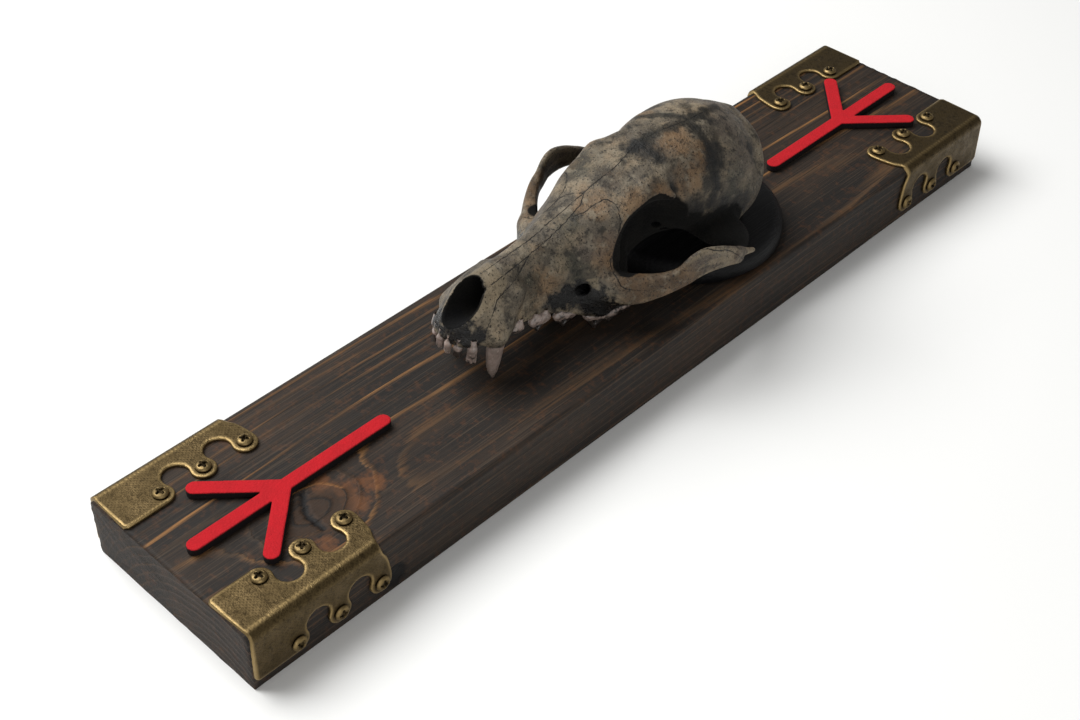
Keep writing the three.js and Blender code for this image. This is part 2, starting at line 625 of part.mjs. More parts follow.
// A flat bar with round ends between two points of the ornament's plane
function bar([x0, y0], [x1, y1]) {
  const r = BAR_WIDTH / 2;
  const turn = Math.atan2(y1 - y0, x1 - x0);
  const shape = new THREE.Shape();
  shape.absarc(x1, y1, r, turn - Math.PI / 2, turn + Math.PI / 2);
  shape.absarc(x0, y0, r, turn + Math.PI / 2, turn + (3 * Math.PI) / 2);
  const run = { depth: ORNAMENT_THICKNESS, bevelEnabled: false, curveSegments: 5 };
  return solidOf(new THREE.ExtrudeGeometry(shape, run));
}

function ornamentGeometry() {
  const fork = [0, ORNAMENT_FORK_Y];
  const shape = bar([0, ORNAMENT_STEM_Y], [0, ORNAMENT_TIP_Y])
    .add(bar(fork, [ORNAMENT_SIDE_X, ORNAMENT_SIDE_Y]))
    .add(bar(fork, [-ORNAMENT_SIDE_X, ORNAMENT_SIDE_Y]));
  return geometryOf(shape);
}

const bonePaint = new THREE.MeshStandardMaterial({ color: 0x8f8672, roughness: 0.55, metalness: 0 });
const plankPaint = new THREE.MeshStandardMaterial({ color: 0x362c24, roughness: 0.7, metalness: 0 });
const discPaint = new THREE.MeshStandardMaterial({ color: 0x141416, roughness: 0.5, metalness: 0 });
const brassPaint = new THREE.MeshStandardMaterial({ color: 0x7a6236, roughness: 0.4, metalness: 1 });
const screwPaint = new THREE.MeshStandardMaterial({ color: 0x5e5138, roughness: 0.4, metalness: 1 });
const redPaint = new THREE.MeshStandardMaterial({ color: 0xd4202c, roughness: 0.75, metalness: 0 });

const model = new THREE.Group();

function place(name, geometry, paint, parent = model) {
  const mesh = new THREE.Mesh(geometry, paint.clone());
  mesh.name = name;
  parent.add(mesh);
  return mesh;
}

const skull = place("skull", skullGeometry(), bonePaint);
skull.position.set(...SKULL_AT);
skull.rotation.set(SKULL_PITCH, SKULL_ROLL, SKULL_YAW, "ZYX");

place("plank", plankGeometry(), plankPaint);

const disc = place("rest_disc", discGeometry(), discPaint);
disc.position.set(0, DISC_CENTRE_Y, PLANK_THICKNESS + GAP);

const plate = plateGeometry();
const screw = screwGeometry();
const seat = GAP + PLATE_THICKNESS + GAP;
[[1, 1], [-1, 1], [1, -1], [-1, -1]].forEach(([sideX, sideY], corner) => {
  const mesh = place("corner_plate_" + (corner + 1), plate, brassPaint);
  mesh.scale.set(sideX, sideY, 1);
  SCREW_ALONG.forEach((u, i) => {
    const y = sideY * (u - PLANK_LENGTH / 2);
    const onTop = place(`screw_top_${corner + 1}_${i + 1}`, screw, screwPaint);
    onTop.position.set(sideX * (PLANK_WIDTH / 2 - SCREW_ACROSS), y, PLANK_THICKNESS + seat);
    const onSide = place(`screw_side_${corner + 1}_${i + 1}`, screw, screwPaint);
    onSide.position.set(sideX * (PLANK_WIDTH / 2 + seat), y, PLANK_THICKNESS - SCREW_ACROSS);
    onSide.rotation.y = (sideX * Math.PI) / 2;
  });
});

const ornament = ornamentGeometry();
for (const [name, turn] of [["ornament_near", Math.PI], ["ornament_far", 0]]) {
  const mesh = place(name, ornament, redPaint);
  mesh.position.set(ORNAMENT_SHIFT_X, 0, PLANK_THICKNESS + GAP);
  mesh.rotation.z = turn;
}

export default model;
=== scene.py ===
# %% [markdown]
# # A fox skull on a dark plank
# The object is a cleaned skull of a red fox that rests on a black disc, on a stained plank with brass corner
# plates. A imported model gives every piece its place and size. This lesson adds what the eye wants: fine
# bone, enamel, brushed wood, pressed brass and paint.

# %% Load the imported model
import math

import bmesh
import bpy
import numpy as np
from mathutils import Matrix, Vector


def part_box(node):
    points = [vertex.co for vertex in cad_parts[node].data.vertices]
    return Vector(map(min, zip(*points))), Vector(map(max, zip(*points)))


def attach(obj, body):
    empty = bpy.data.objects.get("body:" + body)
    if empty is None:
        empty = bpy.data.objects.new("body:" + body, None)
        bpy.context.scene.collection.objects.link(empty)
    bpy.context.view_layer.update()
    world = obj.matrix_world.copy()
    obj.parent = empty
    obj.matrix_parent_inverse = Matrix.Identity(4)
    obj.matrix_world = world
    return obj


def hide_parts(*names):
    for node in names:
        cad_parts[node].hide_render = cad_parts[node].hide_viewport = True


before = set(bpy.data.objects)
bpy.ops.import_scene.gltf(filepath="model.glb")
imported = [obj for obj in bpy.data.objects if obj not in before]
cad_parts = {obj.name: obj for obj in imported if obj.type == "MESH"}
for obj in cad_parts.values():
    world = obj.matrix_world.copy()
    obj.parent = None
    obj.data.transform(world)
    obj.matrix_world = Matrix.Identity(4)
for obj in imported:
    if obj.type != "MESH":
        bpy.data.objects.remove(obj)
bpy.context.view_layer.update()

MM = 0.001


def node_box(name):
    """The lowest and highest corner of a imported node, in millimetres"""
    return [np.array(corner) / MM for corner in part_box(name)]


plank_low, plank_high = node_box("plank")
print("nodes:", len(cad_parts), "plank mm:", np.round(plank_high - plank_low, 1))

# %% [markdown]
# ## Small helpers
# Colours are noted as the hex values that a paint program shows. Shaders want linear light, so one function
# turns them. Another makes a mesh object from arrays and hangs it on the model's only body, and a third adds
# one shader node with its settings and links, which keeps the materials below short. A mark is a number that
# each point of a mesh carries, and by which the mesh tells its material what lies where.

# %% Helpers for colour, meshes and shader nodes
def linear(hex_value):
    """The linear colour of an sRGB hex value"""
    parts = [int(hex_value[i:i + 2], 16) / 255 for i in (1, 3, 5)]
    return [p / 12.92 if p <= 0.04045 else ((p + 0.055) / 1.055) ** 2.4 for p in parts] + [1]


def piece(name, points, faces, material, replaced):
    """A smooth closed mesh object from points in millimetres, which stands for the named nodes"""
    mesh = bpy.data.meshes.new(name)
    mesh.from_pydata((np.asarray(points) * MM).tolist(), [], [list(map(int, face)) for face in faces])
    shell = bmesh.new()
    shell.from_mesh(mesh)
    bmesh.ops.recalc_face_normals(shell, faces=shell.faces)
    shell.to_mesh(mesh)
    shell.free()
    mesh.polygons.foreach_set("use_smooth", [True] * len(mesh.polygons))
    obj = bpy.data.objects.new(name, mesh)
    bpy.context.scene.collection.objects.link(obj)
    mesh.materials.append(material)
    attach(obj, "root")
    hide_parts(*replaced)
    return obj


def mark(obj, name, values):
    """Keeps a number, or three, for each point of a mesh, for its material to read"""
    values = np.asarray(values, np.float32)
    kind, key = ("FLOAT", "value") if values.ndim == 1 else ("FLOAT_VECTOR", "vector")
    obj.data.attributes.new(name, kind, "POINT").data.foreach_set(key, values.ravel())


def feed(tree, node, inputs):
    """Sets a node's inputs to numbers or colours, or links them to outputs of other nodes"""
    for key, value in inputs.items():
        if isinstance(value, bpy.types.NodeSocket):
            tree.links.new(value, node.inputs[key])
        else:
            node.inputs[key].default_value = value


def add(tree, kind, inputs=None, **settings):
    """Adds a shader node with its settings and inputs"""
    node = tree.nodes.new("ShaderNode" + kind)
    for key, value in settings.items():
        setattr(node, key, value)
    feed(tree, node, inputs or {})
    return node


def start_material(name):
    """A new material, its node tree and its principled shader"""
    material = bpy.data.materials.new(name)
    material.use_nodes = True
    return material, material.node_tree, material.node_tree.nodes["Principled BSDF"]


# %% [markdown]
# ## The shape of bone as a field
# A skull has no flat face and no true edge, so it isn't built from primitives. It is written as a distance
# field: a function that is below zero inside the bone. Eggs, rods and bent straps are joined with rounded
# joins, and the orbits, the nose and the palate are cut out the same way. Numbers are in the skull's own
# millimetres: x to the left, y back from the front teeth, z up from the tooth sockets.

# %% Pieces of a field
def weights(t):
    """How much the two ends of a smooth span count at t, and how much the slopes there do"""
    return 2 * t**3 - 3 * t**2 + 1, 3 * t**2 - 2 * t**3, t**3 - 2 * t**2 + t, t**3 - t**2


def curve(pairs):
    """A smooth function through [place, value] pairs, which doesn't overshoot"""
    at, value = np.array(pairs, float).T
    steps = np.diff(value) / np.diff(at)
    slope = np.zeros(len(at))
    both = steps[:-1] * steps[1:] > 0
    slope[1:-1][both] = 2 * (steps[:-1] * steps[1:])[both] / (steps[:-1] + steps[1:])[both]

    def read(x):
        x = np.clip(x, at[0], at[-1])
        i = np.clip(np.searchsorted(at, x, side="right") - 1, 0, len(at) - 2)
        span = at[i + 1] - at[i]
        a, b, c, d = weights((x - at[i]) / span)
        return value[i] * a + value[i + 1] * b + span * (slope[i] * c + slope[i + 1] * d)

    return read


def mix(a, b, t):
    return a + (b - a) * t


def smooth(t):
    """Nought to one with soft ends"""
    t = np.clip(t, 0, 1)
    return t * t * (3 - 2 * t)


def ramp(x, start, end):
    """Nought at the start and beyond it, one at the end and beyond it, with soft ends"""
    return smooth((x - start) / (end - start))


def join(a, b, round_by):
    """Both shapes as one, with a fillet"""
    h = np.maximum(round_by - np.abs(a - b), 0) / round_by
    return np.minimum(a, b) - h * h * round_by / 4


def meet(a, b, round_by):
    """What both shapes share, with a rounded edge; the minus of a shape as b cuts it away"""
    return -join(-a, -b, round_by)


def egg(p, centre, radii):
    """Distance to an egg, close enough near its surface"""
    d = [p[n] - centre[n] for n in range(3)]
    near = np.sqrt(sum((d[n] / radii[n]) ** 2 for n in range(3)))
    steep = np.sqrt(sum((d[n] / radii[n] ** 2) ** 2 for n in range(3)))
    return np.where(steep < 1e-9, -min(radii), near * (near - 1) / np.maximum(steep, 1e-9))


def rod(p, start, end, r0, r1):
    """Distance to a round rod that grows or thins from r0 to r1"""
    along = [end[n] - start[n] for n in range(3)]
    off = [p[n] - start[n] for n in range(3)]
    t = np.clip(sum(off[n] * along[n] for n in range(3)) / sum(a * a for a in along), 0, 1)
    return np.sqrt(sum((off[n] - along[n] * t) ** 2 for n in range(3))) - mix(r0, r1, t)


# %% [markdown]
# The cheek arches and the crest at the back are long flat bars that bend, so each is a strap: an oval
# section that is carried along a smooth line through stations, and grows and thins on its way.

# %% A bent strap
FAR, STRAP_OVERHANG = 9.0, 1.5


def strap_line(stations, steps):
    """Stations [x, y, z, half height, half thickness] with smooth ones between them"""
    s = np.array(stations, float)
    slope = np.gradient(s, axis=0)
    at = np.linspace(0, len(s) - 1, (len(s) - 1) * steps + 1)
    i = np.minimum(at.astype(int), len(s) - 2)
    a, b, c, d = weights((at - i)[:, None])
    return s[i] * a + s[i + 1] * b + slope[i] * c + slope[i + 1] * d


def strap(p, stations, steps=4, power=2.4):
    """Distance to a strap; points far from it read FAR"""
    line = strap_line(stations, steps)
    way = np.gradient(line[:, :3], axis=0)
    way /= np.linalg.norm(way, axis=1)[:, None]
    reach = line[:, 3:].max() + FAR
    low, high = line[:, :3].min(0) - reach, line[:, :3].max(0) + reach
    close = np.ones(p[0].shape, bool)
    for n in range(3):
        close &= (p[n] > low[n]) & (p[n] < high[n])
    out = np.full(p[0].shape, FAR, p[0].dtype)
    q = np.stack([p[n][close] for n in range(3)], -1)
    best = np.full(len(q), np.inf)
    seat = np.zeros((len(q), 8), q.dtype)
    for a, b, u, v in zip(line[:-1], line[1:], way[:-1], way[1:]):
        run = b[:3] - a[:3]
        part = np.clip((q - a[:3]) @ run / (run @ run), 0, 1)
        spot = a[:3] + part[:, None] * run
        gap = ((q - spot) ** 2).sum(-1)
        near = gap < best
        best[near] = gap[near]
        part = part[near, None]
        seat[near] = np.hstack([spot[near], mix(a[3:], b[3:], part), mix(u, v, part)])
    off, along = q - seat[:, :3], seat[:, 5:]
    up = np.array([0, 0, 1.0]) - along * along[:, 2:]
    up /= np.linalg.norm(up, axis=1)[:, None]
    side = np.cross(along, up)
    ahead = (off * along).sum(-1)
    u = (off * up).sum(-1) / seat[:, 3]
    v = (off * side).sum(-1) / seat[:, 4]
    near = (np.abs(u) ** power + np.abs(v) ** power) ** (1 / power)
    radial = np.sqrt((off**2).sum(-1) - ahead**2 + 1e-9)
    gap = np.where(near < 0.05, -seat[:, 4], radial * (1 - 1 / np.maximum(near, 0.05)))
    out[close] = np.minimum(np.maximum(gap, np.abs(ahead) - STRAP_OVERHANG), FAR)
    return out


# %% [markdown]
# The snout and forehead are one long form. Its top and bottom lines and its half widths at three heights are
# curves along the skull, read off the photo's outline and off what a fox skull measures. The braincase, the
# ear capsules, the occiput and the arches are joined on behind it.

# %% The cranium
top_line = curve([[-2.5, 3], [0, 7.5], [4, 13.5], [9, 19], [15, 20.8], [25, 22.4], [36, 24.4], [48, 27.8],
                  [58, 32], [66, 36], [74, 39.6], [82, 42.2], [90, 43.4], [104, 44]])
bottom_line = curve([[0, 0], [30, 0], [38, -1], [46, -3], [54, -5.2], [62, -6.2], [69, -5.2], [75, -1],
                     [80, 4], [92, 6.5], [104, 9]])
low_width = curve([[-3, 4], [-1, 7.4], [2, 9.6], [7, 10.4], [12, 12], [17, 12], [23, 10.7], [31, 11.3],
                   [38, 12.4], [45, 15], [51, 18.6], [57, 21.2], [63, 21.2], [69, 19], [74, 15],
                   [79, 9.5], [100, 8]])
middle_width = curve([[-2.5, 4], [0.5, 8], [7, 9.6], [12, 11], [18, 10.4], [25, 9.8], [33, 10.2], [40, 11.6],
                      [48, 14.2], [55, 17.4], [60, 18.8], [64, 17.5], [68, 12], [73, 9], [80, 8.4],
                      [92, 9], [100, 12]])
shoulder_width = curve([[0, 7], [9, 7.4], [16, 7.2], [27, 6.6], [38, 7.4], [46, 9], [54, 11.8], [60, 14],
                        [66, 16.4], [72, 17.2], [78, 17.8], [84, 17.2], [88, 14.8], [93, 12], [100, 12.6]])
ARCH = [[13, 54, 5, 5.5, 3], [20, 59, 5.6, 6, 3.4], [26.4, 64.6, 6.9, 5.9, 3], [31.4, 70.3, 8.9, 4.6, 2.5],
        [34.4, 74.8, 10.9, 4.1, 2.1], [35.9, 78.8, 12.5, 4.6, 1.7], [37.4, 84, 15.8, 6, 1.4],
        [38.5, 91, 15.4, 5.1, 1.3], [39, 98, 13.6, 4.1, 1.3], [38.9, 104, 11.4, 3.3, 1.4],
        [37, 108.4, 9, 2.9, 1.9], [33, 112, 8.4, 3, 3], [27.6, 113.6, 10.6, 3.3, 4],
        [20, 114.5, 15, 3.6, 4.6]]
CREST = [[21.4, 124, 12, 2.2, 1.2], [22.6, 129, 18, 2.4, 1.2], [21.4, 132.8, 24.4, 2.4, 1.2],
         [17, 136.2, 30.2, 2.4, 1.2], [10, 138.2, 34.4, 2.4, 1.2], [-4, 139, 36.4, 2.4, 1.4]]
ORBIT = [25.5, 76.5, 20.8], [16.5, 14.5, 13.4]
NOSE = [0, 4, 12.6], [5.6, 24, 7.4]


def face(x, y, z):
    """Distance to the snout and forehead"""
    top = top_line(y) - x * x / mix(16, 66, np.clip((y - 20) / 50, 0, 1))
    bottom = bottom_line(y)
    t = np.clip((z - bottom - 2) / (top_line(y) - 4 - bottom - 2), 0, 1)
    low, middle, high = low_width(y), middle_width(y), shoulder_width(y)
    width = np.where(t < 0.5, mix(low, middle, smooth(t * 2)), mix(middle, high, smooth(t * 2 - 1)))
    roof = meet(x - width, (z - top) * 0.9, mix(6, 4, np.clip((y - 50) / 20, 0, 1)))
    body = meet(roof, bottom - z, 2)
    return meet(meet(body, y - 104, 4), -3 - y, 3)


def bone(px, y, z):
    """The cranium without its teeth: below zero inside"""
    x = np.abs(px)
    p = [x, y, z]
    d = face(x, y, z)
    # Braincase, its flank and its floor
    d = join(d, egg(p, [0, 111, 27.5], [22.5, 31, 19.5]), 7)
    d = join(d, egg(p, [8, 112, 20], [15, 24, 11]), 6)
    d = join(d, egg(p, [0, 112, 13], [11, 34, 6]), 5)
    d = join(d, egg(p, [0, 121.5, 27], [22, 20, 16.5]), 7)
    # Horn of the brow behind the orbit, ridge along the crown, and the roots of the arch
    d = join(d, rod(p, [12, 80, 35], [19, 85, 33.6], 4, 1.6), 4)
    d = join(d, rod(p, [0, 120, 44.6], [0, 137, 37.6], 1.6, 1.6), 5)
    d = join(d, egg(p, [14.5, 126, 18.5], [8, 12, 11.5]), 5)
    d = join(d, egg(p, [23.5, 111, 11.5], [13, 9.5, 4]), 5)
    d = join(d, rod(p, [15, 56, 5], [23, 61.5, 6], 5.8, 4.4), 5)
    # Flat back with its crest, the prongs beside it, the ear capsules and the neck joints
    d = meet(d, y - 140.5 - (z - 20) * 0.12, 3)
    d = join(d, strap(p, CREST), 7)
    d = join(d, rod(p, [15, 130, 14], [17, 133.5, 6.5], 4.2, 2), 3)
    d = join(d, egg(p, [13, 117, 10], [7.6, 11.5, 6.8]), 2)
    d = join(d, egg(p, [7.6, 138.5, 13.5], [4.6, 4.8, 6]), 2.5)
    # Orbit, then the arch round it, and the swelling over the canine's root
    d = meet(d, -egg(p, *ORBIT), 1.2)
    d = join(d, strap(p, ARCH, power=3), 2.5)
    d = join(d, rod(p, [39.2, 102, 13.4], [39.9, 111.8, 11], 1.8, 0.9), 1.5)
    d = join(d, rod(p, [11.6, 12, 2.5], [8.4, 23, 14.5], 3.2, 1.4), 6)
    # Nose, the opening for the spinal cord, the passage behind the palate, and the palate's hollow
    d = meet(d, -egg(p, *NOSE), 0.8)
    d = meet(d, -rod(p, [2.2, 8, 18.6], [2.6, 13.4, 21], 0.9, 0.5), 0.5)
    d = meet(d, -rod(p, [4.6, 7, 16.6], [4.6, 13.8, 19.4], 1, 0.5), 0.5)
    d = meet(d, -egg(p, [0, 146, 20.5], [6.4, 14, 5.4]), 1.2)
    d = meet(d, -egg(p, [0, 85, 1], [4.8, 22, 11]), 2)
    d = meet(d, -egg(p, [0, 36, -3.5], [8.5, 34, 6.5]), 3)
    d = meet(d, -egg(p, [0, 60, -7], [10.5, 22, 8]), 3)
    # Holes for nerves and vessels: below the orbit, at its back, in the palate, and the ear's opening
    d = meet(d, -rod(p, [16.6, 42, 5.6], [14.4, 56, 8.4], 2.1, 1.7), 0.8)
    d = meet(d, -rod(p, [13, 88, 16], [6, 95, 15], 1.7, 1.4), 0.6)
    d = meet(d, -rod(p, [12.4, 94, 13.4], [6, 100, 13], 2, 1.5), 0.6)
    d = meet(d, -rod(p, [3, 13, 0], [3, 18, 4], 1.4, 1.4), 0.6)
    return meet(d, -rod(p, [21.6, 120.5, 12.6], [14, 119, 11], 2.6, 2), 0.8)


# %% [markdown]
# ## From field to mesh
# A voxel remesh would blur the thin arch. Instead the field is read on a grid and each cell that the surface
# passes through gets one point, the usual surface nets method. The points are then moved on to the surface
# and evened out, which leaves a smooth mesh of nearly square faces.

# %% Mesh of a field
CORNERS = np.array([[i & 1, i >> 1 & 1, i >> 2] for i in range(8)])
EDGES = np.array([[0, 1], [2, 3], [4, 5], [6, 7], [0, 2], [1, 3], [4, 6], [5, 7],
                  [0, 4], [1, 5], [2, 6], [3, 7]])


def nets(values, start, step):
    """Points and four-sided faces of the surface where a grid of values crosses zero"""
    inside = values < 0
    size = np.array(values.shape) - 1
    count = sum(inside[i:size[0] + i, j:size[1] + j, k:size[2] + k].astype(np.int8) for i, j, k in CORNERS)
    cells = np.argwhere((count > 0) & (count < 8))
    corner = np.stack([values[tuple((cells + c).T)] for c in CORNERS], -1)
    a, b = corner[:, EDGES[:, 0]], corner[:, EDGES[:, 1]]
    crossed = (a < 0) != (b < 0)
    t = np.where(crossed, a / np.where(crossed, a - b, 1), 0)[..., None]
    spot = CORNERS[EDGES[:, 0]] + t * (CORNERS[EDGES[:, 1]] - CORNERS[EDGES[:, 0]])
    middle = (spot * crossed[..., None]).sum(1) / crossed.sum(1)[:, None]
    points = np.array(start) + (cells + middle) * step
    number = np.full(count.shape, -1, np.int32)
    number[tuple(cells.T)] = np.arange(len(cells))
    quads = []
    for n in range(3):
        u, v = np.eye(3, dtype=int)[(n + 1) % 3], np.eye(3, dtype=int)[(n + 2) % 3]
        first = np.moveaxis(inside, n, 0)
        others = [m for m in range(3) if m != n]
        edge = np.argwhere(first[:-1] != first[1:])
        edge = edge[(edge[:, 1:] > 0).all(1) & (edge[:, 1:] < size[others]).all(1)]
        at = np.empty_like(edge)
        at[:, [n] + others] = edge
        ring = np.stack([number[tuple((at - s).T)] for s in (u + v, v, 0 * u, u)], -1)
        turn = ~inside[tuple(at.T)]
        ring[turn] = ring[turn][:, ::-1]
        quads.append(ring)
    return points, np.concatenate(quads)


def settle(value, points, reach=0.5, h=0.03):
    """Moves points on to the surface"""
    d = value(*points.T)
    slope = np.stack([value(*(points + h * e).T) - d for e in np.eye(3)], -1) / h
    move = slope * (d / np.maximum((slope**2).sum(1), 0.1))[:, None]
    length = np.maximum(np.linalg.norm(move, axis=1), 1e-9)
    return points - move * np.minimum(1, reach / length)[:, None]


def neighbours(points, quads):
    """For each point, the sum over its neighbours of what a column holds, and how many they are"""
    a, b = quads.ravel(), np.roll(quads, -1, axis=1).ravel()
    a, b = np.concatenate([a, b]), np.concatenate([b, a])
    amount = np.bincount(a, minlength=len(points))
    return lambda column: np.bincount(a, column[b], len(points)) / amount


def surface(value, low, high, step, rounds):
    """The mesh of a field between two corners"""
    axes = [np.arange(a, b + step, step) for a, b in zip(low, high)]
    values = value(*np.meshgrid(*axes, indexing="ij"))
    points, quads = nets(values, low, step)
    mean = neighbours(points, quads)
    for _ in range(rounds):
        middle = np.stack([mean(points[:, n]) for n in range(3)], -1)
        points = settle(value, (points + middle) / 2)
    return points, quads


def largest_part(points, quads):
    """The mesh without loose scraps or closed-in hollows"""
    label = np.arange(len(points))
    while True:
        low = label.copy()
        np.minimum.at(low, quads.ravel(), np.repeat(label[quads].min(1), 4))
        low = low[low]
        if (low == label).all():
            break
        label = low
    kept = label == np.bincount(label).argmax()
    number = np.cumsum(kept) - 1
    return points[kept], number[quads[kept[quads[:, 0]]]]


def mirrored(points, quads):
    return points * [-1, 1, 1], quads[:, ::-1]


# %% [markdown]
# The skull leans a little on its disc. Its place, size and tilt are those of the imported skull, so the fine
# bone lies where the coarse one was.

# %% Place of the skull, and its mesh
SKULL_SCALE = 1.045
SOCKETS_OVER_PLANK = 20.6
SKULL_AT = np.array([0.7, -75.9, plank_high[2] + SOCKETS_OVER_PLANK])
PITCH, ROLL, YAW = (math.radians(a) for a in (-6, 3.5, -0.3))
TURN = np.array(Matrix.Rotation(YAW, 3, "Z") @ Matrix.Rotation(ROLL, 3, "Y") @ Matrix.Rotation(PITCH, 3, "X"))


def placed(points):
    """Skull millimetres to the model's millimetres"""
    return SKULL_AT + SKULL_SCALE * points @ TURN.T


BONE_STEP = 0.64
BONE_ROOM = [-42, -5, -10], [42, 146, 52]
bone_points, bone_quads = largest_part(*surface(bone, *BONE_ROOM, BONE_STEP, 3))
print("bone points", len(bone_points), "faces", len(bone_quads))

# %% [markdown]
# ## Teeth
# Each tooth is a small field of its own, meshed more finely than the bone, so that its edges stay crisp. An
# incisor is a flat blade of three lobes, the canine a bent oval cone, and each cheek tooth a ridge that runs
# from its ends up to a few cusps. The roots sink into the jaw.

# %% Tooth shapes
TOOTH_STEP = 0.28
ROOT_DEPTH = 4
INCISORS = [dict(at=(1.9, -1.2), half=(1.6, 1.6), turn=0, drop=4.8),
            dict(at=(5.3, 0), half=(1.8, 1.8), turn=0.35, drop=5.2),
            dict(at=(9, 3.2), half=(2.2, 2.1), turn=0.7, drop=6.8)]
CHEEK_TEETH = [
    dict(at=(10.4, 23), edge=0, half=(2.2, 1.3), turn=1.45, cusps=[(0, 0, 2.4)]),
    dict(at=(11.5, 32.8), edge=-0.2, half=(4.4, 1.5), turn=1.42, cusps=[(-0.6, 0, 5.4), (2.3, 0, 2.4)]),
    dict(at=(13.2, 44.4), edge=-2.4, half=(5, 1.7), turn=1.34, cusps=[(-0.4, 0, 5.6), (2.8, 0, 3)]),
    dict(at=(18.5, 57.4), edge=-5, half=(6.9, 2.3), turn=1.22, cusps=[(-1.6, 0.4, 6.8), (3.8, 0.2, 4.8)]),
    dict(at=(16.8, 67.2), edge=-5.4, half=(3.9, 4.6), turn=1.4,
         cusps=[(-1.6, -3, 3.8), (1.6, -2.8, 3.4), (0, 2.6, 2.4)]),
    dict(at=(14.4, 73.2), edge=-3, half=(2.3, 3.1), turn=1.4, cusps=[(-0.8, -1.5, 3.2), (0.6, 1.3, 2.4)])]
CANINE_NECK, CANINE_BOW, CANINE_TIP = np.array([[11.2, 12.8, 5], [11.5, 10.8, -8], [10.6, 13.4, -16.6]])
CANINE_WIDTHS = curve([[0, 3.1], [0.2, 3.6], [0.6, 2.9], [0.85, 1.8], [1, 0.8]])
CANINE_FLATNESS = 0.72


def in_tooth(x, y, z, at, turn):
    """Place along and across a tooth that is turned on the jaw"""
    dx, dy = x - at[0], y - at[1]
    return dx * math.cos(turn) + dy * math.sin(turn), dy * math.cos(turn) - dx * math.sin(turn), z


def cheek_tooth(x, y, z, at, edge, half, turn, cusps):
    """Distance to a tooth with its neck at the jaw's edge, two roots, and cusps [along, across, drop]"""
    p = in_tooth(x, y, z, at, turn)
    d = egg(p, (0, 0, edge - 0.3), (half[0] * 1.02, half[1] * 1.05, 2.3))
    for root in (-0.5 * half[0], 0.5 * half[0]):
        d = join(d, rod(p, (root, 0, edge - 0.5), (root, 0, edge + ROOT_DEPTH), 1.1, 0.8), 1)
    ends = half[0] * 0.8
    for along, across, drop in cusps:
        tip = (along, across, edge - drop + 0.4)
        for end in (max(along - 3.4, -ends), min(along + 3.4, ends)):
            d = join(d, rod(p, (end, across * 0.6, edge - 0.8), tip, half[1] * 0.55 + 0.2, 0.42), 0.9)
    return d


def incisor(x, y, z, at, half, turn, drop):
    """Distance to a blade of three lobes on one root"""
    p = in_tooth(x, y, z, at, turn)
    d = rod(p, (0, 0.4, ROOT_DEPTH), (0, 0, -1), half[1] * 0.55, half[1] * 0.72)
    for side, short in ((-0.58, 1.1), (0, 0.5), (0.58, 1.1)):
        end = (side * half[0], -0.2, -drop + short)
        d = join(d, rod(p, (side * half[0] * 0.5, 0, -0.6), end, 0.95, 0.55), 0.7)
    return d


def canine(x, y, z):
    """Distance to a bent cone, which is pressed flat from side to side"""
    p = [x / CANINE_FLATNESS, y, z]
    d = np.full(np.shape(x), FAR)
    t = np.linspace(0, 1, 13)[:, None]
    spine = (1 - t)**2 * CANINE_NECK + 2 * t * (1 - t) * CANINE_BOW + t**2 * CANINE_TIP
    spine[:, 0] /= CANINE_FLATNESS
    width = CANINE_WIDTHS(t[:, 0])
    for a, b, r0, r1 in zip(spine[:-1], spine[1:], width[:-1], width[1:]):
        d = np.minimum(d, rod(p, a, b, r0, r1))
    return d * CANINE_FLATNESS


# %% Mesh every tooth
teeth = {}


def mesh_tooth(name, form, shape, middle, reach, bottom, top):
    """Meshes one tooth of a form and shape in the box that reaches round its middle"""
    low, high = [middle[0] - reach, middle[1] - reach, bottom], [middle[0] + reach, middle[1] + reach, top]
    teeth[name] = surface(lambda x, y, z: form(x, y, z, **shape), low, high, TOOTH_STEP, 2)


for i, shape in enumerate(INCISORS, 1):
    mesh_tooth(f"incisor_{i}", incisor, shape, shape["at"], 3.6, -shape["drop"] - 1, 3.2)
teeth["canine"] = surface(canine, [7, 7.5, -18], [15.5, 18, 4.5], TOOTH_STEP, 2)
for i, shape in enumerate(CHEEK_TEETH, 1):
    lowest = shape["edge"] - max(cusp[2] for cusp in shape["cusps"])
    mesh_tooth(f"cheek_tooth_{i}", cheek_tooth, shape, shape["at"], max(shape["half"]) + 1.6, lowest - 1,
               shape["edge"] + 3.4)
print("teeth a side:", len(teeth), "points:", sum(len(p) for p, _ in teeth.values()))

# %% [markdown]
# ## Marks on the bone
# The skull was buried and shows it: ochre over the brow, brown on the front of the arch and grey on its end,
# blue-black stain round the nose and in front of the orbit, olive in patches, a dusky band down the
# braincase. Each stain is a mark that fades with the distance from a few spots [x, y, z, radius]. The
# material reads the marks and breaks up their edges.

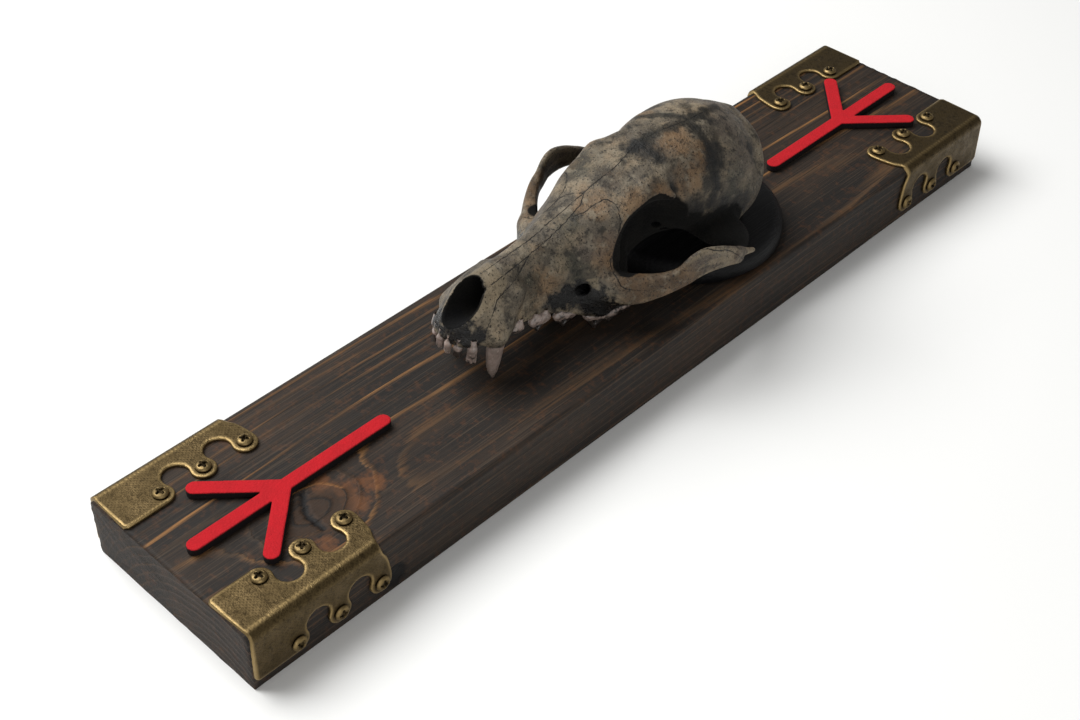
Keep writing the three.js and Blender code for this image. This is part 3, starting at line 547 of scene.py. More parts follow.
# %% Stains as marks
STAINS = {
    "ochre": [(26, 64, 9, 9), (32, 71, 9, 8), (36, 79, 11, 7), (18, 60, 20, 10), (17, 70, 33, 9),
              (18, 80, 35, 7), (8, 98, 44, 9), (18, 96, 36, 9), (5, 60, 33, 9), (12, 34, 13, 9),
              (14, 104, 42, 7)],
    "brown": [(25, 62, 8, 7), (31, 69, 9, 7), (35, 76, 11, 7), (37, 83, 14, 7), (38.5, 91, 14, 6),
              (39, 99, 12, 5)],
    "stain": [(3, -2, 8, 5), (-4, -2, 8, 5), (7, 1, 9, 4.5), (2, -1, 4, 5.5), (6, 1, 4.5, 5.5),
              (9, 4, 4, 4.5), (0, 3, 6, 6), (-7, 0, 4, 5), (12, 39, 4.6, 4.5), (13, 43, 5, 6),
              (15, 47, 6, 7), (17, 51, 4, 7.5), (19.5, 55, 1, 7.5), (21, 60, -1, 7.5), (20, 66, -2, 7)],
    "dusk": [(3.2, 86.3, 43.5, 6), (-3, 84.5, 43, 4.5), (8.4, 88.8, 43, 4), (15.8, 109.7, 41.5, 6),
             (19, 107.6, 37.5, 6.5), (21.4, 106, 32, 7), (22, 104, 26, 6.5), (21.5, 99, 24, 7),
             (23.6, 109, 22, 7), (23.4, 121, 18, 8), (7.5, 118, 46, 3.5), (18, 128, 36, 4)],
    "olive": [(14.8, 49.6, 12.7, 7), (10.7, 45.4, 17.7, 6), (22.7, 117.4, 27.3, 9), (31.5, 107.9, 14.4, 8),
              (13, 75, 20, 9), (9, 30, 14, 6), (4, 50, 28, 6), (-12, 70, 35, 9), (24, 113, 14, 9)],
    "grey": [(38, 84, 18, 6), (38.4, 91, 16, 8), (38.4, 99, 14, 8), (38, 107, 10, 8), (13, 58, 22, 8),
             (11, 51, 22, 6), (10, 126, 43, 11), (19, 124, 34, 9), (3, 128, 45, 9)],
}


def near_spots(points, spots):
    """One at the spots, a half at three quarters of their radius, and nought a little beyond it"""
    out = np.zeros(len(points))
    for x, y, z, radius in spots:
        away = np.linalg.norm(points - [x, y, z], axis=1) / radius
        out = np.maximum(out, ramp(away, 1.25, 0.25))
    return out


def both_sides(spots):
    """Spots well off the middle, seen on the left, stand for the right side too"""
    return spots + [(-x, y, z, radius) for x, y, z, radius in spots if x > 9]


marks = {name: near_spots(bone_points, both_sides(spots)) for name, spots in STAINS.items()}
print({name: round(float(value.mean()), 3) for name, value in marks.items()})

# %% [markdown]
# A crevice collects dirt and lies in shade, so its colour is darkened with dirt and painted shade, and an
# edge is rubbed pale. Both are read from the field: a short way out from the surface the field should have
# grown by that way. Where it grew less, bone is near, and the place is sheltered. Three hollows lie in such
# deep shade, and are so stained, that they look black; they get a mark as well, by which they are painted
# black as painted shade over the stain.

# %% Crevices and edges
def outward(value, points, h=0.05):
    """The way out of a field's surface at each point"""
    slope = np.stack([value(*(points + h * e).T) for e in np.eye(3)], -1) - value(*points.T)[:, None]
    return slope / np.maximum(np.linalg.norm(slope, axis=1), 1e-9)[:, None]


SHELTER_REACHES, EDGE_DEPTH = (1.5, 4, 8), 2
bone_out = outward(bone, bone_points)
# Dirt with painted shade: the less room round a point, the darker the bone is painted there
sheltered = np.zeros(len(bone_points))
for reach in SHELTER_REACHES:
    sheltered += np.clip(1 - bone(*(bone_points + bone_out * reach).T) / reach, 0, 1) / 3
edge = np.clip(-bone(*(bone_points - bone_out * EDGE_DEPTH).T) / EDGE_DEPTH, 0, 1)
marks["sheltered"] = smooth(sheltered * 1.5)
marks["edge"] = smooth((0.82 - edge) * 2.2)


# Painted shade over stain: the places found here are painted black on the bone
def hollows(points, out):
    """One inside the orbit, the nose and the space behind the arch: each ramp is a limit of such a place"""
    x, y, z = np.abs(points[:, 0]), points[:, 1], points[:, 2]
    inward = np.stack([ORBIT[0][0] - x, ORBIT[0][1] - y, ORBIT[0][2] - z], -1)
    near = np.linalg.norm(inward / ORBIT[1], axis=1)
    inward /= np.linalg.norm(inward, axis=1)[:, None]
    faces_in = (inward * out * np.stack([np.sign(points[:, 0]), 0 * y + 1, 0 * z + 1], -1)).sum(1)
    orbit = ramp(near, 1.5, 1.2) * ramp(faces_in, 0.15, 0.35) * ramp(x, 27, 24)
    nose = ramp(egg((x, y, z), *NOSE), 0.98, 0.28)
    flank = ramp(z + 0.1 * (y - 84), 29, 18) * ramp(y, 82, 87) * ramp(y, 129, 117) * ramp(x, 36, 33)
    root = ramp(y, 103, 106) * ramp(y, 127, 119) * ramp(z, 19, 15) * ramp(x, 39, 37.5)
    wall = ramp(y, 63, 66) * ramp(y, 90, 86) * ramp(x, 17, 15) * ramp(z, 1, 4) * ramp(z, 24, 20)
    return np.maximum.reduce([orbit, nose, flank, root, wall])


# The hollow mark paints the orbit, the nose and the space behind the arch black as painted shade
marks["hollow"] = hollows(bone_points, bone_out)
print("sheltered", round(float(marks["sheltered"].mean()), 3), "edge", round(float(marks["edge"].mean()), 3))

# %% [markdown]
# The bones of a skull meet in sutures, fine wavy lines. Each is a path of a few places on the bone. Every
# point near it keeps its distance to the left or right of the path, so that the shader can draw a line that
# is finer than the mesh. Stain crept out from the seams of the crown, so these have a broad dark mark as
# well.

# %% Sutures
SUTURES = {
    "midline": [(-0.6, 12, 21), (-0.7, 29, 23.1), (-0.7, 39, 25.1), (-1.4, 46.6, 27.3), (-0.6, 60.9, 33.4),
                (0.4, 69.5, 37.7), (0.9, 74, 39.6), (0.2, 80, 41.8), (-0.6, 88, 44.3), (0.8, 97, 46.4),
                (2.4, 104, 47.2), (2.5, 118, 46.8), (1.1, 127.5, 45.2)],
    "nasal_left": [(4.3, 14, 18.6), (4, 27.2, 21.4), (3.5, 40.2, 25), (3.1, 47.5, 27.5), (2.2, 54.4, 30.3),
                   (1.8, 57.5, 31.8), (-0.2, 60.8, 33.4)],
    "nasal_right": [(-5.4, 14, 18), (-5.6, 27, 20.6), (-6.2, 38, 23), (-6.9, 45.3, 24.7), (-6.5, 52, 28.4),
                    (-5.6, 57.5, 31.2), (-0.8, 60.8, 33.4)],
    "snout_left": [(10.6, 6.5, 4), (10.1, 8, 7), (9, 11.7, 12), (7.4, 15.2, 14.6), (6.9, 20.9, 16.8),
                   (5.6, 26, 19), (4.1, 31, 22.3)],
    "snout_right": [(-10.6, 6.5, 4), (-10.1, 8, 7), (-9, 11.7, 12), (-7.4, 15.2, 14.6), (-6.9, 20.9, 16.8),
                    (-6, 26, 19)],
    "brow_left": [(3.3, 52.8, 29.5), (5, 56.2, 30.8), (5.6, 60.1, 32.5), (7.1, 63.7, 34.1),
                  (8.4, 64.5, 34.2), (11.4, 65, 33.5), (14.1, 64.3, 31.2), (15.2, 63.7, 28.7),
                  (16.1, 63, 24.3), (16.7, 62.4, 21.4), (17.7, 59, 17.1), (19.2, 58.8, 13.2),
                  (22.8, 58.3, 11.2), (25.1, 58.6, 9.5), (29, 61, 9)],
    "brow_right": [(-6.4, 54, 29), (-8, 60, 31.4), (-11.8, 64.4, 33), (-14.7, 66.2, 32.1),
                   (-15.4, 63.7, 28.7), (-16.7, 62.4, 21.4), (-19.2, 58.8, 13.2), (-22.8, 58.3, 11.2)],
    "crown_left": [(2.4, 109.5, 47), (7.8, 108.5, 46), (12.1, 108.3, 44.2), (16.5, 106.8, 40.9),
                   (20.1, 106.2, 35.9), (22.2, 106.4, 30.2), (21.5, 104, 24)],
    "crown_right": [(2.4, 109.5, 47), (-1.7, 107.8, 47), (-5, 104.8, 46.3), (-11.7, 100.1, 44.3),
                    (-18, 102, 38), (-21.5, 104, 30)],
    "cheek_left": [(37.5, 84.5, 22.6), (39.4, 89.4, 20.2), (39.9, 95.5, 18), (40.3, 100.5, 14.5),
                   (40.3, 107, 9)],
}
SUTURE_REACH = 2.5
DARK_SEAMS = ("crown_left", "crown_right", "midline")


def from_line(points, a, b):
    """For each point: how far along the line from a to b it is, with one at b, and its way from the line"""
    run = b - a
    part = (points - a) @ run / (run @ run)
    return part, points - a - np.clip(part, 0, 1)[:, None] * run


def beside_path(points, out, path):
    """For each point: how far to the left of a path it is, how far along, and whether it is near"""
    path = strap_line(path, 4)
    best = np.full(len(points), np.inf)
    found = np.zeros((len(points), 3))
    gone = 0.0
    for a, b in zip(path[:-1], path[1:]):
        length = np.linalg.norm(b - a)
        part, off = from_line(points, a, b)
        away = np.linalg.norm(off, axis=1)
        near = away < best
        best[near] = away[near]
        side = (np.cross(np.broadcast_to(b - a, out.shape), out) * off).sum(1)
        inside = np.clip((0.5 * length + SUTURE_REACH - np.abs(part - 0.5) * length) / SUTURE_REACH, 0, 1)
        found[near, 0] = np.where(side[near] < 0, -away[near], away[near])
        found[near, 1] = gone + part[near] * length
        found[near, 2] = (inside * np.clip(2 - away / SUTURE_REACH, 0, 1))[near]
        gone += length
    return found


sutures = {name: beside_path(bone_points, bone_out, path) for name, path in SUTURES.items()}
seams = [ramp(np.abs(sutures[name][:, 0]), 3.52, 0.32) * sutures[name][:, 2] for name in DARK_SEAMS]
marks["seam"] = np.max(seams, axis=0) * ramp(bone_points[:, 1], 74, 84)
near_suture = max(float(np.abs(s[:, 0]).min()) for s in sutures.values())
print("sutures:", len(sutures), "largest gap to a point:", round(near_suture, 2), "mm")

# %% [markdown]
# ## Patterns with a real size
# Two patterns serve most of the materials. Mottle is cloudy noise whose patches have a size in millimetres,
# turned into a mask from nought to one. Ragged takes a mark from the mesh and breaks up its soft edge with
# the same noise, as a stain creeps along pores. A painted surface is a ground colour with such layers over
# it.

# %% Mottle, ragged marks and layers of colour
def mottle(tree, size, low=0.4, high=0.6, stretch=(1, 1, 1), detail=5):
    """A mask of patches about size millimetres across, longer where stretch is above one"""
    where = add(tree, "TexCoord").outputs["Object"]
    if stretch != (1, 1, 1):
        where = add(tree, "Mapping", {"Vector": where, "Scale": [1 / s for s in stretch]}).outputs[0]
    fine = {"Vector": where, "Scale": 1 / (size * MM), "Detail": detail, "Roughness": 0.6}
    span = {"Value": add(tree, "TexNoise", fine).outputs[0], "From Min": low, "From Max": high}
    return add(tree, "MapRange", span, interpolation_type="SMOOTHSTEP").outputs[0]


def ragged(tree, name, size, level=0.5, strength=0.7, soft=0.14):
    """A mark of the mesh, cut at a level, with an edge that wanders by patches of a size in millimetres"""
    value = add(tree, "Attribute", attribute_name=name).outputs["Fac"]
    noise = mottle(tree, size, 0.25, 0.75, detail=7)
    shifted = add(tree, "Math", {0: noise, 1: strength, 2: value}, operation="MULTIPLY_ADD").outputs[0]
    middle = level + strength / 2
    span = {"Value": shifted, "From Min": middle - soft, "From Max": middle + soft}
    return add(tree, "MapRange", span, interpolation_type="SMOOTHSTEP").outputs[0]


def layered(tree, ground, layers):
    """A ground with colours laid over it, each through a mask and at most at its strength"""
    colour = linear(ground) if isinstance(ground, str) else ground
    for hex_value, mask, strength in layers:
        if strength < 1:
            mask = add(tree, "Math", {0: mask, 1: strength}, operation="MULTIPLY").outputs[0]
        layer = {0: mask, 6: colour, 7: linear(hex_value)}
        colour = add(tree, "Mix", layer, data_type="RGBA").outputs[2]
    return colour


def bumped(tree, shader, heights):
    """Links bump to a shader from pairs of a height mask and its depth in millimetres"""
    normal = None
    for height, depth in heights:
        inputs = {"Height": height, "Distance": depth * MM, "Strength": 1}
        if normal:
            inputs["Normal"] = normal
        normal = add(tree, "Bump", inputs).outputs[0]
    tree.links.new(normal, shader.inputs["Normal"])


# %% [markdown]
# ## Bone
# Bone that has lain in soil is grey tan, mottled from patches as wide as a hand's nail down to pin pricks.
# It is satin where the outer layer is whole and glossy where the stain is thick. The colours below are laid
# one over another: first pale and dark mottle with the tints of the soil, then dark seams and the dusky
# band, rubbed edges, pin pricks, dirt with painted shade in the crevices, the hollows painted black as
# painted shade over their stain, the thick stain, and last the lines of the sutures.

# %% Aged bone
SUTURE_WIDTH = 0.3
SUTURE_WANDER = 0.55
SUTURE_WANDER_SIZE = 1.6


def aged_bone():
    """Bone: IOR 1.5 when fresh, less with open pores; satin, glossier where stained, matt in the hollows"""
    material, tree, shader = start_material("aged_bone")
    stain = ragged(tree, "stain", 2.6, 0.42, 1, 0.32)
    # The sheltered mark darkens the crevices with dirt and painted shade
    dirt_and_shade = ragged(tree, "sheltered", 5, 0.62, 0.4, 0.3)
    # Painted shade: the hollow mark paints the orbit, the nose and the space behind the arch black
    hollow = ragged(tree, "hollow", 5, 0.45, 0.35, 0.25)
    layers = [("#877a65", mottle(tree, 14, 0.44, 0.62), 0.85),
              ("#2b261e", mottle(tree, 9, 0.46, 0.68), 0.82),
              ("#785a3b", ragged(tree, "ochre", 7, 0.6, 1, 0.6), 0.6),
              ("#463523", ragged(tree, "brown", 6, 0.55, 0.9, 0.5), 0.75),
              ("#282b22", ragged(tree, "olive", 5, 0.55, 1, 0.45), 0.6),
              ("#574d45", ragged(tree, "grey", 6, 0.55, 1, 0.45), 0.5),
              ("#1d1b17", mottle(tree, 4, 0.52, 0.68), 0.7),
              ("#b0a38c", mottle(tree, 5, 0.53, 0.73), 0.55),
              ("#1a150f", mottle(tree, 1.8, 0.56, 0.68), 0.65),
              ("#b5a482", mottle(tree, 0.9, 0.62, 0.72), 0.3),
              ("#151510", ragged(tree, "seam", 4, 0.5, 0.8, 0.4), 0.75),
              ("#0d0e0f", ragged(tree, "dusk", 5, 0.55, 1, 0.55), 0.86),
              ("#93846a", ragged(tree, "edge", 3, 0.6, 0.5, 0.3), 0.4),
              ("#0a0806", mottle(tree, 0.8, 0.59, 0.67, detail=2), 0.88),
              # Dirt with painted shade in the crevices, then the hollows painted black as painted shade
              ("#040302", dirt_and_shade, 0.95),
              ("#020201", hollow, 0.98),
              ("#020203", stain, 0.97)]
    colour = layered(tree, "#5a5246", layers)
    groove = None
    where = add(tree, "TexCoord").outputs["Object"]
    wander = {"Vector": where, "Scale": 1 / (SUTURE_WANDER_SIZE * MM), "Detail": 3}
    wander = add(tree, "TexNoise", wander).outputs[0]
    for name in SUTURES:
        place = add(tree, "Attribute", attribute_name="suture_" + name).outputs["Vector"]
        side, _, near = add(tree, "SeparateXYZ", {0: place}).outputs
        shift = add(tree, "Math", {0: wander, 1: 2 * SUTURE_WANDER, 2: side}, operation="MULTIPLY_ADD")
        away = add(tree, "Math", {0: shift.outputs[0], 1: SUTURE_WANDER}, operation="SUBTRACT").outputs[0]
        away = add(tree, "Math", {0: away}, operation="ABSOLUTE").outputs[0]
        span = {"Value": away, "From Min": SUTURE_WIDTH, "From Max": SUTURE_WIDTH * 0.3}
        line = add(tree, "MapRange", span).outputs[0]
        line = add(tree, "Math", {0: line, 1: near}, operation="MULTIPLY").outputs[0]
        groove = add(tree, "Math", {0: groove, 1: line}, operation="MAXIMUM").outputs[0] if groove else line
    worn = add(tree, "Math", {0: groove, 1: mottle(tree, 3, 0.3, 0.5)}, operation="MULTIPLY").outputs[0]
    colour = layered(tree, colour, [("#0a0806", worn, 1)])
    gloss = add(tree, "MapRange", {"Value": stain, "To Min": 0.56, "To Max": 0.26}).outputs[0]
    matt = add(tree, "Math", {0: gloss, 1: hollow}, operation="MAXIMUM").outputs[0]
    feed(tree, shader, {"Base Color": colour, "Roughness": matt, "IOR": 1.36})
    sunk = add(tree, "Math", {0: 1.0, 1: worn}, operation="SUBTRACT").outputs[0]
    dents, pores = mottle(tree, 5, 0.3, 0.7), mottle(tree, 0.8, 0.3, 0.7)
    bumped(tree, shader, [(dents, 0.25), (pores, 0.13), (sunk, 0.15)])
    return material


bone_paint = aged_bone()
skull = piece("cranium", placed(bone_points), bone_quads, bone_paint, ["skull"])
for name, values in marks.items():
    mark(skull, name, values)
for name, values in sutures.items():
    mark(skull, "suture_" + name, values)
print("cranium box mm:", [np.round(placed(bone_points).min(0), 1), np.round(placed(bone_points).max(0), 1)])

# %% [markdown]
# ## Enamel
# Enamel is a hard glassy skin over yellowish dentine, so a tooth is glossier and paler than the bone and
# light goes a little way in. These teeth are stained: dark at the neck where dirt sat against the jaw, and
# pinkish grey elsewhere. Some are painted near black towards their tips, their lowest parts, most of all
# the cheek teeth: stain and painted shade.

# %% Stained enamel
# How dark each tooth is painted towards its tips: stain and painted shade
TEETH_STAIN_AND_SHADE = {"incisor_1": 0.35, "incisor_2": 0.9, "incisor_3": 0.45, "canine": 0.15,
                 "cheek_tooth_1": 0.6, "cheek_tooth_2": 0.75, "cheek_tooth_3": 1.1, "cheek_tooth_4": 1.2,
                 "cheek_tooth_5": 1.2, "cheek_tooth_6": 1.2}


def stained_enamel():
    """Enamel: IOR 1.62, smooth, a little light goes in"""
    material, tree, shader = start_material("stained_enamel")
    neck = ragged(tree, "neck", 1.2, 0.5, 0.5, 0.15)
    layers = [("#5f544c", mottle(tree, 3, 0.4, 0.6), 0.6),
              ("#b3a296", mottle(tree, 1.5, 0.55, 0.7), 0.6),
              ("#4a3a2e", mottle(tree, 1.1, 0.58, 0.7), 0.5),
              # Stain with painted shade, near black towards the tips
              ("#15110e", ragged(tree, "soil_and_shade", 1.6, 0.5, 0.7, 0.2), 0.93),
              ("#0f0c0a", neck, 0.9)]
    feed(tree, shader, {"Base Color": layered(tree, "#94837a", layers), "Roughness": 0.3, "IOR": 1.62,
                        "Subsurface Weight": 0.15, "Subsurface Radius": [0.0015, 0.0011, 0.0008],
                        "Subsurface Scale": 0.4})
    bumped(tree, shader, [(mottle(tree, 0.9, 0.3, 0.7, (1, 1, 3)), 0.04)])
    return material


enamel = stained_enamel()
for name, (points, quads) in teeth.items():
    for side, (side_points, side_quads) in (("left", (points, quads)), ("right", mirrored(points, quads))):
        tooth = piece(f"{name}_{side}", placed(side_points), side_quads, enamel, ["skull"])
        above = np.clip(bone(*side_points.T) / 0.9, -1, 1)
        mark(tooth, "neck", ramp(above, 1, -1) * 1.1)
        # Darker towards the tip, the lowest part of the tooth: stain and painted shade
        depth = (points[:, 2].max() - points[:, 2]) / np.ptp(points[:, 2])
        mark(tooth, "soil_and_shade", TEETH_STAIN_AND_SHADE[name] * mix(0.35, 1, ramp(depth, 0.5, 0.75)))
print("teeth:", 2 * len(teeth))

# %% [markdown]
# ## Plank
# The plank is a piece of pine, brushed so that the soft spring wood lies lower than the hard summer wood,
# then stained nearly black. Its rings are part of a trunk whose middle ran below the plank. One function
# gives the ring at any point, so the relief on the faces, the curves on the ends and the colours all agree.
# The rings bend round a knot in the top, which has a crack, and a smaller knot sits in the long side.

# %% Growth rings
RING_WIDTH = 3.3
PITH_AT = (24, -30)
KNOT_AT = np.array([15.5, -151.5])
KNOT_REACH, KNOT_BEND = 14, 15
SIDE_KNOT_AT, SIDE_KNOT_RADIUS = np.array([42, -140, 6]), 3.8
CRACK = np.array([[6.5, -148.5], [11, -151.5], [15, -153.5], [22.5, -153.5]])


def waves(x, seed, octaves=3):
    """A smooth random line from a few sine waves"""
    draw = np.random.default_rng(seed)
    total = 0
    for n in range(octaves):
        total = total + np.sin(x * 2**n * (0.8 + 0.4 * draw.random()) + draw.random() * 7) / 1.6**n
    return total


def ring_at(points):
    """The number of the growth ring that a point of the plank is in, with its fraction"""
    x, y, z = points.T
    dx = x - PITH_AT[0] - 1.1 * waves(y / 110, 1)
    dz = z - PITH_AT[1] - 1.3 * waves(y / 140, 2)
    away = np.linalg.norm((points[:, :2] - KNOT_AT) * [1, 0.62], axis=1)
    bend = KNOT_BEND * np.exp(-(away / KNOT_REACH) ** 2)
    return (np.hypot(dx, dz) + bend + 0.2 * waves(x / 4 + y / 60, 3)) / RING_WIDTH


def from_side_knot(points):
    """How far a point is from the middle of the side knot, with one at the knot's rim"""
    return np.linalg.norm(points - SIDE_KNOT_AT, axis=1) / SIDE_KNOT_RADIUS


def knots(points):
    """One inside a knot, fading out at its edge"""
    top_way = np.linalg.norm((points[:, :2] - KNOT_AT) * [1, 0.75], axis=1) + 1.6 * waves(points[:, 0] / 5, 8)
    top = ramp(top_way, KNOT_REACH - 1, KNOT_REACH - 6) * (points[:, 2] > thick / 2)
    return np.maximum(top * 0.8, ramp(from_side_knot(points), 1.35, 0.95))


# Painted shade: the crack, the side knot's hole and its rim are painted near black for their depth
def cracks(points):
    """One in the crack of the upper knot, in the middle of the side one and in the ring round it"""
    best = np.full(len(points), FAR)
    for a, b in zip(CRACK[:-1], CRACK[1:]):
        best = np.minimum(best, np.linalg.norm(from_line(points[:, :2], a, b)[1], axis=1))
    best = best + 0.3 * waves(points[:, 0] * 1.5, 9) + FAR * (points[:, 2] < thick / 2)
    side = from_side_knot(points)
    ring = np.abs(side - 1) * SIDE_KNOT_RADIUS
    return np.maximum(ramp(np.minimum(best, ring), 1.5, 0.7), smooth(1.6 - 1.2 * side))


def rubbed(points):
    """How far the brush laid the summer wood bare: most on the left half of the top"""
    left = mix(0.22, 1, ramp(points[:, 0], 16, -6))
    by_knot = np.exp(-(np.linalg.norm(points[:, :2] - KNOT_AT, axis=1) / 24) ** 2)
    top = ramp(points[:, 2], thick - 1.5, thick - 0.3) * (np.abs(points[:, 1]) < along / 2 - 0.3)
    return mix(0.12, 1, top * np.maximum(left, by_knot))


# %% Cross section of the plank
EDGE_RADIUS = 2
ARRIS = 0.6
BRUSH_DEPTH, CRACK_DEPTH = 0.18, 0.7
across, along, thick = plank_high - plank_low


def plank_loop():
    """The plank's cross section as a loop of [x, z] points and their outward ways"""
    half = across / 2
    turn_x, turn_z = half - EDGE_RADIUS, thick - EDGE_RADIUS
    top = [(x, thick, 0, 1) for x in np.linspace(-turn_x, turn_x, 150)]
    flank = []
    for a in np.linspace(0, math.pi / 2, 6)[1:-1]:
        s, c = math.sin(a), math.cos(a)
        flank.append((turn_x + EDGE_RADIUS * s, turn_z + EDGE_RADIUS * c, s, c))
    flank += [(half, z, 1, 0) for z in np.linspace(turn_z, ARRIS, 40)]
    foot = [(x, 0, 0, -1) for x in np.linspace(half - ARRIS, -half + ARRIS, 24)]
    return np.array(top + flank + foot + [(-x, z, -u, w) for x, z, u, w in reversed(flank)])


def relief(points):
    """How far the brushed face lies below the true one"""
    part = ring_at(points) % 1
    soft = ramp(part, 0, 0.25) * ramp(part, 1, 0.55)
    fine = 0.5 + 0.25 * waves(points[:, 0] * 5 + points[:, 2] * 5, 4, 4)
    return BRUSH_DEPTH * (0.75 * soft + 0.25 * fine) + CRACK_DEPTH * cracks(points)


loop = plank_loop()
print("points round the plank:", len(loop))

# %% [markdown]
# Rings of points like this one are laid along the plank, closest together at the knots. More rings, each
# smaller than the last, close its two ends. Faces between neighbouring rings then make the skin, as on the
# disc below.

# %% Plank with relief
KNOT_ROWS = -172, -130
rows = np.concatenate([np.linspace(-along / 2, KNOT_ROWS[0], 14)[:-1], np.linspace(*KNOT_ROWS, 56)[:-1],
                       np.linspace(KNOT_ROWS[1], along / 2, 150)])
inset = np.linspace(0.02, 1, 16)[:-1]


def end_ring(size, y, inward):
    """The loop drawn in towards the middle of an end face, with relief"""
    z = (loop[:, 1] - thick / 2) * size + thick / 2
    ring = np.stack([loop[:, 0] * size, np.full(len(loop), y), z], -1)
    return ring + [0, inward, 0] * relief(ring)[:, None]


def row_ring(y):
    """The loop at a place along the plank, with relief on all but the underside"""
    ring = np.stack([loop[:, 0], np.full(len(loop), y), loop[:, 1]], -1)
    ring[:, [0, 2]] -= loop[:, 2:] * relief(ring)[:, None] * (loop[:, 3:] > -0.5)
    ring[:, 1] += np.where(y < 0, 1, -1) * relief(ring) * (abs(y) > along / 2 - 0.1)
    return ring


def skin(count, rings):
    """Faces between rings of count points each, and one over each end"""
    i, r = np.meshgrid(np.arange(count), np.arange(rings - 1))
    a, b = r * count + i, r * count + (i + 1) % count
    faces = np.stack([a, a + count, b + count, b], -1).reshape(-1, 4).tolist()
    return faces + [range(count), range((rings - 1) * count, rings * count)]


rings = [end_ring(k, -along / 2, 1) for k in inset] + [row_ring(y) for y in rows]
rings += [end_ring(k, along / 2, -1) for k in inset[::-1]]
plank_points = np.concatenate(rings) + [0, 0, plank_low[2]]
plank_faces = skin(len(loop), len(rings))
print("plank points:", len(plank_points))

# %% [markdown]
# Stained pine is dull, because the open grain scatters light. The stain soaks into the soft wood and leaves
# it nearly black, while the hard summer wood between stays brown and shows as thin orange lines where the
# brush rubbed it. Some rings took the stain better than others, so chance picks the bright ones.

# %% Stained brushed pine
GLOW = [(15, -136, 25, 6), (22, -138, 25, 6), (29, -157, 25, 5), (7, -141, 25, 5), (19, -128, 25, 6)]


def stained_pine():
    """Pine under stain: a low IOR, rough, with lines from the growth rings and from the fibres"""
    material, tree, shader = start_material("stained_brushed_pine")
    ring = add(tree, "Attribute", attribute_name="ring").outputs["Fac"]
    knot = ragged(tree, "knot", 3, 0.5, 0.5, 0.3)
    crack = add(tree, "Attribute", attribute_name="crack").outputs["Fac"]
    bare = add(tree, "Attribute", attribute_name="rubbed").outputs["Fac"]
    fibre = mottle(tree, 1.4, 0.3, 0.7, (1, 50, 1))
    frayed = add(tree, "Math", {0: fibre, 1: 0.16, 2: ring}, operation="MULTIPLY_ADD").outputs[0]
    part = add(tree, "Math", {0: frayed}, operation="FRACT").outputs[0]
    number = add(tree, "Math", {0: frayed}, operation="FLOOR").outputs[0]
    chance = add(tree, "TexWhiteNoise", {"W": number}, noise_dimensions="1D").outputs[0]
    chance = add(tree, "MapRange", {"Value": chance, "From Min": 0.15, "From Max": 0.6}).outputs[0]
    summer = add(tree, "MapRange", {"Value": part, "From Min": 0.68, "From Max": 0.88}).outputs[0]
    ended = add(tree, "MapRange", {"Value": part, "From Min": 1.0, "From Max": 0.92}).outputs[0]
    line = add(tree, "Math", {0: summer, 1: ended}, operation="MULTIPLY").outputs[0]
    bright = line
    for mask in (chance, mottle(tree, 12, 0.35, 0.55, (1, 9, 1)), bare):
        bright = add(tree, "Math", {0: bright, 1: mask}, operation="MULTIPLY").outputs[0]
    swirl = add(tree, "Math", {0: line, 1: knot}, operation="MULTIPLY").outputs[0]
    layers = [("#32251a", mottle(tree, 22, 0.42, 0.66, (1, 4, 1)), 0.8),
              ("#3e2f20", line, 0.5),
              ("#94683a", bright, 0.85),
              ("#0e0b08", mottle(tree, 0.8, 0.5, 0.6, (1, 90, 1), 2), 0.6),
              ("#4d3f30", mottle(tree, 0.4, 0.56, 0.66, (1, 140, 1), 2), 0.5),
              ("#7a4a24", ragged(tree, "glow", 3, 0.6, 1, 0.6), 0.5),
              ("#38230f", knot, 0.6),
              ("#0c0805", swirl, 0.85),
              # The crack and the side knot's hole painted near black as painted shade
              ("#030202", crack, 0.97)]
    feed(tree, shader, {"Base Color": layered(tree, "#19130e", layers), "Roughness": 0.68, "IOR": 1.4})
    bumped(tree, shader, [(line, 0.1), (mottle(tree, 0.5, 0.3, 0.7, (1, 60, 1)), 0.07)])
    return material


pine = stained_pine()
plank = piece("board", plank_points, plank_faces, pine, ["plank"])
for name, read in (("ring", ring_at), ("knot", knots), ("crack", cracks), ("rubbed", rubbed)):
    mark(plank, name, read(plank_points))
mark(plank, "glow", near_spots(plank_points, GLOW))

# %% [markdown]
# ## Disc
# The black disc is turned from wood, so its grain runs straight across it. Its upper rim is rounded over.

# %% Turned disc
def lathe(profile, sides):
    """Points and faces of a profile of [radius, height] turned about the Z axis, closed at both ends"""
    a = np.linspace(0, 2 * math.pi, sides, endpoint=False)
    rings = [np.stack([r * np.cos(a), r * np.sin(a), np.full(sides, h)], -1) for r, h in profile]
    return np.concatenate(rings), skin(sides, len(profile))


disc_low, disc_high = node_box("rest_disc")
disc_radius = (disc_high[0] - disc_low[0]) / 2
disc_middle = (disc_low + disc_high) / 2
disc_thick = disc_high[2] - disc_low[2]
DISC_TOP_RADIUS, DISC_BEVEL, DISC_ARRIS, DISC_GRAIN_DEPTH = 34, 5.5, 0.6, 0.12
profile = [(r, 0) for r in np.linspace(2, disc_radius - DISC_ARRIS, 6)] + [(disc_radius, DISC_ARRIS)]
for a in np.linspace(0, math.pi / 2, 12):
    radius = DISC_TOP_RADIUS + (disc_radius - DISC_TOP_RADIUS) * math.cos(a)
    profile.append((radius, disc_thick - DISC_BEVEL * (1 - math.sin(a))))
profile += [(r, disc_thick) for r in np.linspace(DISC_TOP_RADIUS, 1, 34)[1:]]
disc_points, disc_faces = lathe(profile, 180)
grain = 0.5 + 0.25 * waves(disc_points[:, 0] * 1.3, 6, 4)
